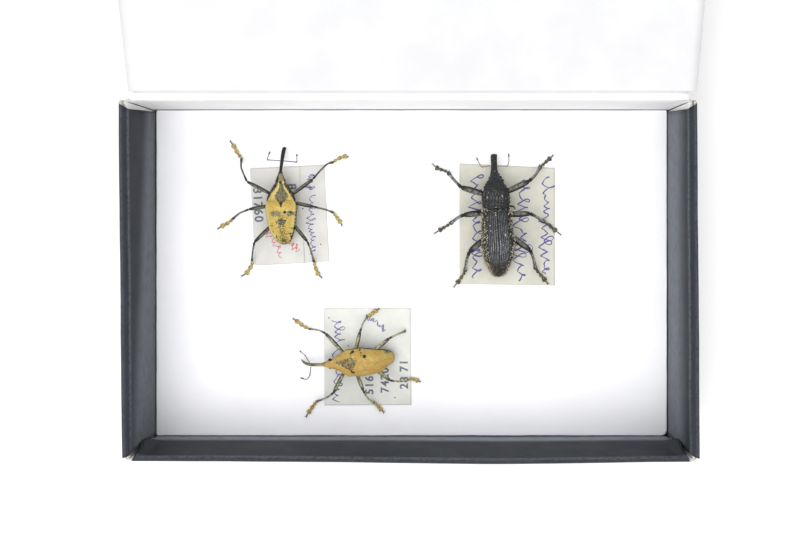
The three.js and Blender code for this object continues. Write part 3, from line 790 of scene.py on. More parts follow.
def build_foam():
    """A flat pad: the outer rows of its top turn down over a small round to the base; its cut edges
    wander, its corners are round, and its top is barely uneven."""
    half = (foam_high - foam_low)[:2] / 2
    centre = (foam_high + foam_low)[:2] / 2
    thickness = FOAM_TOP - foam_low[2]
    across, fall_across = foam_axis(260, half[0], thickness)
    deep, fall_deep = foam_axis(170, half[1], thickness)
    x, y = np.meshgrid(across, deep, indexing="ij")
    fall = np.maximum.outer(fall_across, fall_deep)
    x, y = rounded_corners(x, y, half, radius=np.where((x > 0) & (y < 0), 1.8, 0.6))
    near_x = ramp(np.abs(x), half[0] - 1.5, half[0])
    near_y = ramp(np.abs(y), half[1] - 1.5, half[1])
    x = x - np.sign(x) * near_x * cut_edge(y, 17, 3.1, 31)
    y = y - np.sign(y) * near_y * cut_edge(x, 23, 3.7, 33)
    z = FOAM_TOP - fall - 0.03 - 0.03 * wave(x + 0.6 * y, 38, 35) * (fall == 0)
    top = surface(x + centre[0], y + centre[1], np.minimum(z, FOAM_TOP))
    rows, columns = top.shape[:2]
    border = surface_border(rows, columns)
    under = np.stack([np.full(len(border), rows * columns), border, np.roll(border, -1)], axis=1)
    points = np.vstack([top.reshape(-1, 3), [[centre[0], centre[1], foam_low[2]]]])
    skin = part(points, surface_faces(rows, columns)[:, ::-1], under)
    pad = piece("white_foam_pad", [skin], [closed_cell_foam()], "box", "foam_pad")


def scribble(start, end, size, loops, seed):
    """A meaningless looping pen line: a point that swings across as it travels, in strokes of uneven
    height and slant, now and then a tall one."""
    random = np.random.default_rng(seed)
    t = np.linspace(0, 1, loops * 26)
    run = np.array(end, float) - np.array(start, float)
    forward = run / np.linalg.norm(run)
    across = np.array([-forward[1], forward[0]])
    knots = np.linspace(0, 1, 2 * loops + 2)
    tall = smooth_through(t, knots, random.choice([0.3, 0.45, 0.6, 0.75, 1.5], len(knots)))
    drift = smooth_through(t, knots, random.uniform(-0.35, 0.35, len(knots)))
    phase = 2 * math.pi * loops * (t + 0.35 / loops * wave(t, 0.37, seed))
    swing = size * (tall * np.sin(phase) + drift)
    slip = size * tall * (0.35 * np.cos(phase + 0.5) + 0.18 * np.sin(2 * phase))
    return np.array(start) + run * t[:, None] + across * swing[:, None] + forward * slip[:, None]


def laid(slip, x, y, above=INK_LIFT):
    """Points of a slip's own measures, just above its paper."""
    px, py = slip["place"](x, y)
    return surface(px, py, slip["level"] + PAPER + slip["lift"](x, y) + above)


def pen(slip, start, end, size, loops, seed, material, width):
    """A pen line as a thin ribbon: a scribble's two sides, half a width out, wider where it presses."""
    path = scribble(start, end, size, loops, seed)
    pressure = width * (0.8 + 0.35 * wave(np.arange(len(path)), 17, seed))
    forward = unit(np.gradient(path, axis=0))
    across = np.stack([-forward[:, 1], forward[:, 0]], axis=1)
    sides = path[:, None] + across[:, None] * (np.array([0.5, -0.5])[:, None] * pressure[:, None, None])
    points = laid(slip, sides[..., 0], sides[..., 1])
    return part(points.reshape(-1, 3), surface_faces(len(path), 2), material=material)


def stamp(slip, text, height, middle, turn):
    """Stamped plain numbers: outlines made a mesh, laid on the slip."""
    curve = bpy.data.curves.new("numerals", "FONT")
    curve.body = text
    curve.size = height * FIGURE_TO_FONT
    curve.align_x = "CENTER"
    curve.align_y = "CENTER"
    curve.space_character = 1.16
    curve.offset = 0.03 * curve.size
    holder = bpy.data.objects.new("numerals", curve)
    mesh = bpy.data.meshes.new_from_object(holder)
    flat = np.zeros(len(mesh.vertices) * 3)
    mesh.vertices.foreach_get("co", flat)
    mesh.calc_loop_triangles()
    corners = np.zeros(len(mesh.loop_triangles) * 3, int)
    mesh.loop_triangles.foreach_get("vertices", corners)
    bpy.data.objects.remove(holder)
    bpy.data.meshes.remove(mesh)
    x, y = turned(flat[0::3], flat[1::3], turn)
    points = laid(slip, middle[0] + x, middle[1] + y)
    return part(points, triangles=corners.reshape(-1, 3), material=STAMP)


def pin_hole(slip, middle, radius):
    """A pin's old hole in a slip: a small disc painted dark for the shade inside it, with a raised burr."""
    ring = np.linspace(0, 2 * math.pi, 12, endpoint=False)
    rows = np.array([0.15, 0.6, 1.0])[:, None] * radius
    above = np.array([INK_LIFT, 0.02, INK_LIFT])[:, None]
    points = laid(slip, middle[0] + rows * np.cos(ring), middle[1] + rows * np.sin(ring), above)
    return closed_skin(points[:, ::-1], material=HOLE)


# Each slip's middle, size, turn, place in the pile and marks: a pen line is (start, end, size, loops,
# seed, ink, width), a stamp (figures, height, middle, turn) and a pin hole (middle, radius).
LABELS = {
    "label_left_name": {
        "centre": (-33.2, 18.7), "size": (13.5, 30.2), "turn": 3.0, "level": 0, "seed": 40, "marks": [
            (pen, (2.4, 12.6), (2.2, 7.6), 1.3, 4, 1, VIOLET, 0.28),
            (pen, (2.0, 5.2), (1.6, -12.4), 1.1, 13, 2, VIOLET, 0.28),
            (pin_hole, (-0.6, 1.8), 0.22),
            (pin_hole, (4.4, -9.6), 0.2),
        ]},
    "label_left_record": {
        "centre": (-41.8, 18.2), "size": (15.4, 30.2), "turn": 3.0, "level": 1, "seed": 41, "marks": [
            (stamp, "31760", 2.8, (-5.9, 3.7), -90),
            (stamp, "8", 2.8, (4.9, 8.8), -90),
            (pen, (-3.0, -4.6), (0.6, -13.0), 1.1, 5, 5, RED, 0.3),
            (pen, (3.0, -8.0), (6.0, -11.2), 1.0, 3, 6, RED, 0.3),
        ]},
    "label_front": {
        "centre": (-13.7, -25.7), "size": (27.0, 30.2), "turn": 0.4, "level": 0, "seed": 42, "marks": [
            (pen, (-9.3, 11.6), (-9.6, -14.0), 1.25, 12, 7, VIOLET, 0.34),
            (stamp, "516", 2.6, (0.6, -8.9), 90),
            (stamp, "7420", 2.6, (5.4, -7.4), 90),
            (stamp, "28 71", 2.6, (11.4, -5.6), 90),
            (pen, (-0.6, 12.4), (2.6, 11.0), 0.9, 3, 21, VIOLET, 0.24),
            (pen, (2.6, 10.4), (5.6, 8.6), 1.2, 2, 22, VIOLET, 0.24),
            (pin_hole, (-12.0, 12.2), 0.2),
            (pin_hole, (8.4, -12.8), 0.2),
            (pin_hole, (-6.0, 3.4), 0.2),
        ]},
    "label_right": {
        "centre": (29.8, 15.25), "size": (29.7, 37.1), "turn": 0, "level": 0, "seed": 43, "falls": (0.4, 1.4),
        "marks": [
            (pen, (-9.6, 15.0), (-9.6, -16.4), 1.6, 13, 10, VIOLET, 0.44),
            (pen, (5.0, 14.6), (4.4, -17.2), 2.3, 12, 11, VIOLET, 0.44),
            (pen, (12.0, 15.2), (12.0, -14.6), 1.6, 13, 12, VIOLET, 0.44),
        ]},
}


def build_label(name, paper):
    """A slip of paper, barely curled, its corners lifting a little, with its marks lying on it. Where
    it was cut out of square, its front and rear edges fall by so much from left to right."""
    shape = LABELS[name]
    width, depth = shape["size"]
    front_fall, rear_fall = shape.get("falls", (0.0, 0.0))

    def place(x, y):
        """A slip's own measures carried to the tray's."""
        fall = front_fall + (rear_fall - front_fall) * (y / depth + 0.5)
        across, back = turned(x, y - fall * x / width, shape["turn"])
        return shape["centre"][0] + across, shape["centre"][1] + back

    def lift(x, y):
        """How far the slip stands off what it lies on."""
        edge = (np.abs(x) / width * 2) ** 4 * (np.abs(y) / depth * 2) ** 2
        return 0.02 + 0.1 * edge + 0.015 * (1 + wave(x + y, 14, shape["seed"]))

    slip = {"place": place, "lift": lift, "level": FOAM_TOP + 0.02 + shape["level"] * (PAPER + 0.02)}
    x = np.linspace(-0.5, 0.5, 49)[::-1, None] * width
    y = np.linspace(-0.5, 0.5, 61) * depth
    marks = [draw(slip, *details) for draw, *details in shape["marks"]]
    parts = [sheet(laid(slip, x, y, -PAPER / 2), PAPER), *marks]
    piece(name + "_slip", parts, [paper, *INKS], "box", name)


def build_labels():
    """Three kinds of paper under the three weevils."""
    grey_paper = label_paper("ledger_paper_grey", "D8D8D3", "CFCFC9")
    dim_paper = label_paper("ledger_paper_dim", "D1CFCB", "C9C7C2")
    cream_paper = label_paper("ledger_paper_cream", "CAC9BD", "C1C0B3")
    build_label("label_left_name", dim_paper)
    build_label("label_left_record", dim_paper)
    build_label("label_front", grey_paper)
    build_label("label_right", cream_paper)


# ---- weevils ------------------------------------------------------------------------------------
SHELL, LEG, PAD, CLAW, FEELER, EYE = range(6)


def round_ended(x, at, values):
    """The square root of a smooth curve through the values' squares, so that it comes round to an end
    where a value is 0."""
    return np.sqrt(np.maximum(smooth_through(x, at, values**2), 1e-6))


def body_skin(stations, rows, columns, relief, marks, square=1.0):
    """A body part: x runs tail to head by a cosine, and each station is (x, y, z, half-width,
    half-height). Each section is an ellipse, its sine and cosine raised to a power below 1 where it is
    boxier, with a flatter underside. relief(x, over, y) is raised along the normal, where over is 0 on
    the midline of the back and 1 or -1 at the left and right sides; marks(x, over, y) gives the masks."""
    at, y_line, z_line, half_widths, half_heights = np.array(stations, float).T
    tip = 0.02
    belly = 0.85
    t = 0.5 - 0.5 * np.cos(np.linspace(tip, math.pi - tip, rows))
    x = at[0] + (at[-1] - at[0]) * t
    around = np.linspace(-math.pi, math.pi, columns, endpoint=False)
    side, rise = (np.sign(v) * np.abs(v) ** square for v in (np.sin(around), np.cos(around)))
    rise = np.where(rise < 0, rise * belly, rise)
    y = smooth_through(x, at, y_line)[:, None] + round_ended(x, at, half_widths)[:, None] * side
    z = smooth_through(x, at, z_line)[:, None] + round_ended(x, at, half_heights)[:, None] * rise
    x, over = np.broadcast_arrays(x[:, None], around / (math.pi / 2))
    points = surface(x, y, z)
    if relief:
        points = points - surface_normals(points, wrap=True) * relief(x, over, y)[:, :, None]
    masks = {name: values[:, ::-1] for name, values in marks(x, over, y).items()}
    return closed_skin(points[:, ::-1], SHELL, masks)


def limb(path, widths, sides=12, material=SHELL, flatten=1.0, bloom_and_highlight=None):
    """A limb piece: elliptical sections along a path, round at its ends, by (share, half-width) pairs;
    bloom_and_highlight gives pairs of how pale its upper side is along it, partly a bloom of hairs and partly
    a painted highlight."""
    p = np.asarray(path, float)
    share = along(p) / along(p)[-1]
    width = round_ended(share, *np.array(widths, float).T)
    tangent = unit(np.gradient(p, axis=0))
    across = unit(np.cross([0.0, 0.0, 1.0], tangent))
    above = np.cross(tangent, across)
    turn = np.linspace(0, 2 * math.pi, sides, endpoint=False)
    ring = across[:, None] * np.cos(turn)[:, None] + above[:, None] * (flatten * np.sin(turn))[:, None]
    masks = {}
    if bloom_and_highlight:
        pale = np.interp(share, *np.array(bloom_and_highlight, float).T)
        edge = 0.6 - 0.4 * pale.max()
        masks["bloom_and_highlight"] = np.minimum(pale, 1)[:, None] * ramp(np.sin(turn + 0.5), edge, edge + 0.5)
    return closed_skin(p[:, None] + ring * width[:, None, None], material, masks)


def line(start, end, count):
    """Points on a straight line, closer at its ends so that round ends show."""
    t = 0.5 - 0.5 * np.cos(np.linspace(0.05, math.pi - 0.05, count))
    return np.array(start, float) + (np.array(end, float) - np.array(start, float)) * t[:, None]


def blob(middle, radii, material, turn=0.0):
    """An ellipsoid with its long axis level, turned about the vertical."""
    middle = np.array(middle, float)
    forward = np.array([*turned(1.0, 0.0, turn), 0]) * radii[0]
    widths = [(0, 0), (0.5, radii[1]), (1, 0)]
    return limb(line(middle - forward, middle + forward, 12), widths, 16, material, radii[2] / radii[1])


def foot(joints, breadths):
    """Three flattened pads, each wider than the last and cut off broad; the third is split in two."""
    parts = []
    for number, (start, end, broad) in enumerate(zip(joints, joints[1:], breadths)):
        run = unit(end - start)
        if number < 2:
            widths = [(0, 0.14), (0.3, broad * 0.55), (0.75, broad), (0.93, broad * 0.8), (1, 0.1)]
            parts.append(limb(line(start - run * 0.1, end + run * 0.12, 14), widths, 14, PAD, 0.42))
            continue
        aside = np.cross([0, 0, 1.0], run) * broad * 0.52
        widths = [(0, 0.16), (0.45, broad * 0.45), (0.8, broad * 0.56), (1, 0.1)]
        for tip in (end + run * 0.3 - aside, end + run * 0.3 + aside):
            parts.append(limb(line(start, tip, 14), widths, 14, PAD, 0.5))
    return parts


def claws(start, toe):
    """The clawed last joint: a thin stalk, and two hooks that part and dip to their tips."""
    root = start + (toe - start) * 0.72
    parts = [limb(line(start, root, 12), [(0, 0.14), (0.75, 0.2), (1, 0.12)], 10, CLAW)]
    aside = np.cross([0, 0, 1.0], unit(toe - root))
    for side in (-1, 1):
        bend = root + (toe - root) * 0.6 + aside * side * 0.3 + [0, 0, 0.1]
        hook = path_through([root, bend, toe + aside * side * 0.34 - [0, 0, 0.12]], 9)
        parts.append(limb(hook, [(0, 0.13), (0.5, 0.1), (1, 0.02)], 8, CLAW))
    return parts


def leg(shaft, ends, thick, breadths, highlight_and_bloom_share):
    """A leg on the points that the solids have: hip, knee, shin and ankle, and then, unless the foot is
    missing, three pads and a toe. The femur swells, and the shin ends broad, with a spur."""
    hip, knee, *bends, ankle = np.array(shaft, float)
    end = 0.1 / thick
    femur = [(0, 0.3), (0.15, 0.4), (0.6, 0.54), (0.88, 0.44), (0.97, 0.34), (1, end)]
    tibia = [(0, end), (0.05, 0.32), (0.25, 0.26), (0.75, 0.26), (0.93, 0.38), (0.98, 0.3), (1, end)]
    spur = [(0, 0.18), (0.6, 0.12), (1, 0.02 / thick)]
    femur, tibia, spur = ([(at, half * thick) for at, half in widths] for widths in (femur, tibia, spur))
    # painted highlight, partly a bloom of hairs: a pale streak along the upper side of femur and shin
    femur_highlight = [(0, 0), (0.2, highlight_and_bloom_share[0]), (0.8, highlight_and_bloom_share[0]), (0.93, 0), (1, 0)]
    shin_highlight = [(0, 0), (0.1, 0), (0.2, highlight_and_bloom_share[1]), (0.82, highlight_and_bloom_share[1]), (0.92, 0), (1, 0)]
    shin = path_through([knee, *bends, ankle], 28)
    run = unit(shin[-1] - shin[-5])
    inward = np.cross([0, 0, 1.0], run) * np.sign(hip[1])
    tip = ankle + run * 0.25 * thick - inward * 0.5 * thick
    parts = [
        limb(line(hip, knee, 24), femur, 16, LEG, 0.95, femur_highlight),
        limb(shin, tibia, 14, LEG, 1.0, shin_highlight),
        limb(line(ankle - run * 0.4 * thick, tip, 8), spur, 8, LEG, 1.0, [(0, 0), (1, 0)]),
    ]
    if ends:
        *pads, toe = np.array(ends, float)
        parts += foot([ankle, *pads], breadths) + claws(pads[-1], toe)
    return parts


def antenna(points):
    """A feeler: a long first joint to the elbow, a string of seven beads, and a pointed club."""
    root, elbow, *rest = np.array(points, float)
    bead = [(0, 0.11), (0.6, 0.17), (1, 0.09)]
    club = [(0, 0.11), (0.35, 0.3), (0.7, 0.26), (1, 0.03)]
    first = path_through([root, (root + elbow) / 2 + [0, 0, 0.15], elbow], 14)
    whole = path_through([elbow, *rest], 64)
    parts = [limb(first, [(0, 0.12), (0.7, 0.15), (1, 0.2)], 10, FEELER)]
    parts += [limb(whole[start:start + 7], bead, 8, FEELER) for start in range(0, 42, 6)]
    parts.append(limb(whole[42:], club, 10, FEELER))
    return parts


def hairs(roots, directions, lengths, thickness, material):
    """Bristles as thin three-sided spikes from root to tip."""
    d = unit(directions)
    side = unit(np.cross(d, [0.31, 0.57, 0.76]))
    other = np.cross(d, side)
    turn = (np.arange(3) * 2 * math.pi / 3)[:, None]
    base = roots[:, None] + thickness * (side[:, None] * np.cos(turn) + other[:, None] * np.sin(turn))
    tip = roots + d * lengths[:, None]
    points = np.concatenate([base, tip[:, None]], axis=1).reshape(-1, 3)
    faces = np.array([[0, 1, 3], [1, 2, 3], [2, 0, 3], [0, 2, 1]])
    numbers = (np.arange(len(roots))[:, None, None] * 4 + faces).reshape(-1, 3)
    return part(points, triangles=numbers, material=material)


def clipped(values, top=1.0):
    """Values kept between 0 and top."""
    return np.clip(values, 0, top)


def spots(x, y, places):
    """The sum of soft oval spots: each is (x, y, half-length, half-breadth, strength)."""
    total = np.zeros_like(x)
    for px, py, rx, ry, strength in places:
        total = total + strength * np.exp(-(((x - px) / rx) ** 2 + ((y - py) / ry) ** 2) ** 1.5)
    return total


def within(x, y, stations):
    """1 inside a shape given by (x, middle, half-breadth) stations along x, fading over its edge."""
    at, middle, half = np.array(stations, float).T
    breadth = np.interp(x, at, half, left=-1, right=-1)
    return ramp(breadth - np.abs(y - np.interp(x, at, middle)), -0.15, 0.25)


def upper_side(over):
    """1 on the wing cases, 0 on the underside."""
    return ramp(1.12 - np.abs(over), 0, 0.06)


def elytra_relief(x, over, y):
    """Wing cases: a seam down the back, ten fine punctured grooves a side and a raised outer margin."""
    row = np.abs(over) * 10.5
    groove = (0.5 + 0.5 * np.cos(2 * math.pi * row)) ** 3
    pits = 0.5 + 0.5 * np.cos(2 * math.pi * x / 0.62 + 2.1 * np.floor(row + 0.5))
    shoulders = 0.3 * hump(x, 1.7, 1.0) * hump(np.abs(y), 2.2, 1.2)
    margin = 0.1 * hump(np.abs(over), 1.08, 0.04)
    seam = 0.16 * hump(over, 0, 0.014)
    return shoulders + margin - seam + 0.08 * (1 - groove * pits) * upper_side(over)


def grained_relief(seed, height, count):
    """A pronotum's low scattered grains over its upper side."""
    random = np.random.default_rng(seed)
    places = random.uniform([0, -1, 0.4], [1, 1, 1], (count, 3))

    def relief(x, over, y):
        """The tallest grain at each point."""
        share = (x - x.min()) / (x.max() - x.min())
        total = np.zeros_like(x)
        for along_share, at, size in places:
            bump = np.exp(-((share - along_share) / 0.026) ** 2 - ((over - at) / 0.042) ** 2)
            total = np.maximum(total, height * size * bump)
        return total * upper_side(over)
    return relief


def build_weevil(name, node_name, spec, materials):
    """A weevil's body, legs, feelers and eyes, turned to its heading and set down on the foam. Its eyes
    are given by (x, middle, half the way between them, height, radius)."""
    parts = list(spec["body"])
    for shaft, ends in spec["legs"]:
        parts += leg(shaft, ends, spec["leg_thickness"], spec["pad_breadths"], spec["leg_highlight_and_bloom"])
    for points in spec["antennae"]:
        parts += antenna(points)
    x, middle, half, z, size = spec["eyes"]
    for side in (-1, 1):
        parts.append(blob((x, middle + side * half, z), (size, size * 0.6, size * 0.85), EYE, -side * 8))
    for one in parts:
        x, y, z = one["points"].T
        east, north = turned(x, y, spec["heading"])
        one["points"] = surface(east + spec["place"][0], north + spec["place"][1], z + FOAM_TOP)
    piece(name, parts, materials, "box", node_name)


def horn_materials(name, leg_dark, leg_highlight_colour, pad, pad_dark, feeler):
    """A weevil's legs, pads, claws, feelers and eyes, in the order of their numbers."""
    return [
        leg_cuticle(name + "_leg_cuticle", leg_dark, leg_highlight_colour, 0.36),
        plain_cuticle(name + "_bristle_pads", pad, pad_dark, 0.85),
        plain_cuticle(name + "_claw_horn", "3A342A", "6E6248", 0.4),
        plain_cuticle(name + "_feeler_cuticle", feeler, "6E6A64", 0.6),
        plain_cuticle(name + "_black_eye", "0F0F11", "1A1A1D", 0.2),
    ]


# Body stations are (x, y, z, half-width, half-height); each leg is its shaft and its foot.
LEFT_HIND = [
    (-10.5, -0.2, 2.6, 0, 0), (-10.2, -0.2, 2.7, 1.3, 0.8), (-9.2, -0.2, 3.1, 2.3, 1.5),
    (-7.6, -0.1, 3.7, 3.1, 2.2), (-4.7, 0, 4.4, 4.1, 3.0), (-1.6, 0, 4.6, 4.5, 3.3),
    (1.1, 0, 4.6, 4.85, 3.2), (2.3, 0, 4.5, 4.6, 2.9), (3.2, 0, 4.4, 3.4, 2.2), (3.8, 0, 4.4, 0, 0),
]
LEFT_PRONOTUM = [
    (1.4, 0, 4.3, 0, 0), (2.2, 0, 4.4, 4.0, 2.4), (3.2, 0, 4.4, 4.4, 2.7), (4.7, 0, 4.4, 3.95, 2.6),
    (6.2, 0, 4.4, 3.05, 2.2), (7.8, 0, 4.4, 2.1, 1.8), (8.6, 0, 4.4, 0, 0),
]
LEFT_HEAD = [
    (6.4, 0, 4.6, 0, 0), (7.4, 0, 4.6, 1.7, 1.5), (9.2, 0, 4.5, 1.4, 1.3), (10.6, 0, 4.4, 0.9, 0.9),
    (12.3, -0.1, 3.9, 0.45, 0.5), (15.4, -0.4, 2.8, 0.55, 0.5), (18.3, -0.8, 1.8, 0.62, 0.5),
    (19.3, -1.0, 1.4, 0.6, 0.4), (19.6, -1.0, 1.3, 0, 0),
]
LEFT_LEGS = [
    ([(4.4, 2.2, 3.0), (9.0, 10.0, 6.0), (12.0, 11.5, 4.5), (14.2, 12.4, 2.5), (16.5, 12.5, 0.9)],
     [(17.5, 13.4, 0.5), (19.1, 14.3, 0.5), (20.6, 15.0, 0.5), (22.2, 16.2, 0.3)]),
    ([(4.0, -2.2, 3.0), (9.1, -10.1, 6.0), (12.2, -12.7, 4.0), (14.1, -14.8, 2.0), (14.4, -16.2, 0.9)],
     [(15.1, -16.8, 0.5), (15.8, -18.4, 0.5), (16.2, -19.9, 0.5), (15.9, -20.8, 0.3)]),
    ([(1.6, 2.8, 3.0), (0.5, 9.7, 6.0), (-0.6, 13.0, 3.5), (-2.4, 15.9, 0.9)],
     [(-3.0, 16.6, 0.5), (-3.9, 18.0, 0.5), (-4.5, 19.4, 0.5), (-5.4, 20.9, 0.3)]),
    ([(2.4, -2.8, 3.0), (0.7, -10.2, 6.0), (-0.3, -13.6, 3.2), (-1.3, -15.6, 0.9)],
     [(-2.2, -16.1, 0.5), (-3.3, -16.9, 0.5), (-4.3, -17.6, 0.5), (-5.6, -18.2, 0.3)]),
    ([(-3.6, 2.4, 3.0), (-9.6, 8.2, 6.5), (-12.1, 9.2, 4.0), (-15.6, 10.2, 0.9)],
     [(-16.7, 10.2, 0.5), (-18.0, 11.1, 0.5), (-19.4, 12.1, 0.5), (-20.4, 14.0, 0.3)]),
    ([(-3.2, -2.4, 3.0), (-9.9, -8.0, 6.5), (-12.6, -8.6, 4.0), (-16.5, -9.1, 0.9)],
     [(-17.5, -9.2, 0.5), (-19.0, -9.7, 0.5), (-20.4, -10.2, 0.5), (-21.6, -11.5, 0.3)]),
]
LEFT_ANTENNAE = [
    [(15.2, -0.2, 2.9), (15.6, 4.1, 3.6), (18.2, 3.2, 3.2)],
    [(15.2, -0.6, 2.9), (14.6, -5.1, 3.6), (17.2, -5.1, 3.2)],
]


def left_marks(x, over, y):
    """Mustard, with a grey diamond between pale stripes on the pronotum, orange shoulders and dark
    blotches behind them; the snout is bare and black."""
    side = np.abs(over)
    middle = y + 0.45
    speckle = np.random.default_rng(3).uniform(0, 1, x.shape)
    diamond = within(x, y, [(1.3, -0.4, 0.1), (2.6, -0.44, 1.2), (4.3, -0.54, 2.2), (5.6, -0.5, 1.3),
                            (6.5, -0.48, 0.8), (7.8, -0.45, 0.6), (8.2, -0.4, 0.3)])
    lobe = 2.75 - 0.5 * ((np.abs(middle) - 2.1) / 1.7) ** 2
    lobe_edge = 0.35 * hump(x, lobe, 0.22) * ramp(np.abs(middle), 0.3, 0.8)
    band_start = np.interp(x, [2.4, 3.6, 4.95, 6.9, 7.6, 9.5], [4.6, 3.8, 2.9, 1.4, 0.9, 0.7])
    off_middle = np.where(middle > 0, middle, -1.24 * middle)
    band = ramp(off_middle - band_start, -0.1, 0.3) * ramp(x, 2.4, 3.2)
    # partly painted shade: the steep sides of the body are darkened, along with the wing cases' own dark edge
    margin = ramp(side, 0.72, 0.82) * (0.66 + 0.3 * wave(x, 1.1, 14))
    blotches = spots(x, y, [
        (-0.74, -1.54, 0.6, 0.6, 1.0), (-0.9, 1.9, 0.5, 0.7, 0.6), (-1.2, 0.6, 0.45, 0.5, 0.5),
        (-0.8, -3.3, 0.45, 0.8, 0.9), (-1.8, -2.5, 0.4, 0.5, 0.6), (-3.8, -0.9, 0.4, 0.36, 0.6),
        (-3.4, 0.93, 0.4, 0.36, 0.6), (-3.2, -1.6, 0.36, 0.4, 0.8), (-5.6, -3.7, 0.3, 1.0, 0.9),
        (-4.8, 2.7, 0.26, 1.0, 0.7), (-8.2, 1.5, 1.0, 0.32, 0.8), (-8.2, -2.7, 1.0, 0.32, 0.8),
        (8.4, -0.2, 0.55, 0.5, 1.2), (-7.2, -2.7, 0.26, 0.8, 0.7), (-6.6, 2.3, 0.24, 0.7, 0.7),
    ])
    notch = ramp(0.34 * (x - 0.5) - np.abs(middle), -0.1, 0.12) * ramp(2.6 - x, 0, 0.6) * ramp(x, 0.4, 0.9)
    clouds = spots(x, y, [
        (-1.1, 1.3, 1.0, 1.8, 0.95), (-1.1, -2.9, 0.9, 1.6, 0.9), (-3.5, -0.2, 1.0, 1.7, 0.62),
        (-6.4, -0.4, 4.0, 1.4, 0.4), (-9.6, -0.4, 1.2, 2.0, 0.3),
    ])
    shoulders = [(1.5, 1.6, 1.2, 1.6, 0.55), (1.55, -2.6, 1.2, 1.6, 0.55), (-1.0, -0.5, 1.1, 0.5, 0.4)]
    stripes = 0.75 * hump(side, 0.66, 0.12) * ramp(3 - x, 0, 1)
    seam = hump(middle, 0, 1.3) * ramp(-x, 0, 3)
    bare = ramp(side, 1.0, 1.15) + ramp(x, 10.6, 11.6)
    return {
        "dark": clipped(blotches + 0.8 * band + margin + notch + lobe_edge + bare),
        "grey": clipped(clouds + 0.9 * ramp(x, 8.2, 9.2) + diamond),
        "orange": clipped(spots(x, y, shoulders)),
        "pale": clipped(stripes + 0.5 * ramp(x, 3, 5) * (1 - diamond)),
        "speck": clipped(0.8 * seam + 0.5 * diamond + 0.4 * ramp(-x, 7.5, 9.5) + 0.6 * speckle),
        "net": 0.5 * diamond,
        "fleck": clipped(spots(x, y, [(-1.2, -2.0, 0.16, 0.16, 0.9)])),
    }


def build_left_weevil():
    """The yellow weevil, on the label at the left."""
    spec = {
        "place": (-39.9, 20.0), "heading": 91.7, "leg_thickness": 1.12, "pad_breadths": (0.56, 0.68, 0.86),
        "leg_highlight_and_bloom": (0.5, 0.8), "legs": LEFT_LEGS, "antennae": LEFT_ANTENNAE,
        "eyes": (9.0, 0, 1.3, 4.5, 0.5),
        "body": [
            body_skin(LEFT_HIND, 200, 240, elytra_relief, left_marks, square=0.92),
            body_skin(LEFT_PRONOTUM, 90, 150, grained_relief(5, 0.07, 170), left_marks),
            body_skin(LEFT_HEAD, 110, 48, None, left_marks),
        ],
    }
    materials = [scaled_cuticle("mustard_scaled_cuticle", "BAA04A", "B08933", "CCBF7D", "6A6650", "1B1C20"),
                 *horn_materials("mustard_weevil", "181912", "8A8B76", "BBA967", "7A6C3C", "3A3B3E")]
    build_weevil("yellow_weevil_left", "weevil_left", spec, materials)


FRONT_HIND = [
    (-10.5, 0.1, 2.7, 0, 0), (-10.2, -0.1, 2.8, 1.2, 0.8), (-9.2, -0.1, 3.1, 2.0, 1.3),
    (-7.9, 0, 3.5, 2.6, 1.9), (-7.2, 0.3, 3.7, 3.0, 2.2), (-6.0, 0.5, 4.0, 3.4, 2.6),
    (-3.0, 0.5, 4.5, 3.95, 3.2), (0.2, 0.4, 4.6, 4.3, 3.2), (1.6, 0.4, 4.5, 4.2, 2.9),
    (2.6, 0.4, 4.4, 3.1, 2.2), (3.2, 0.4, 4.4, 0, 0),
]
FRONT_PRONOTUM = [
    (0.9, 0.4, 4.3, 0, 0), (1.8, 0.4, 4.4, 4.0, 2.4), (3.1, 0.4, 4.4, 4.15, 2.7), (4.7, 0.4, 4.4, 3.7, 2.6),
    (6.3, 0.3, 4.4, 2.5, 2.1), (7.6, 0.3, 4.4, 1.9, 1.8), (8.4, 0.3, 4.4, 0, 0),
]
FRONT_HEAD = [
    (6.3, 0.3, 4.6, 0, 0), (7.3, 0.3, 4.6, 1.7, 1.5), (9.0, 0.3, 4.5, 1.45, 1.3),
    (10.4, 0.3, 4.3, 0.9, 0.9), (12.2, 0.4, 3.9, 0.5, 0.5), (14.6, 0.3, 3.2, 0.5, 0.5),
    (16.6, 0.0, 2.4, 0.5, 0.45), (17.9, -0.7, 1.6, 0.48, 0.4), (18.5, -1.3, 1.2, 0, 0),
]
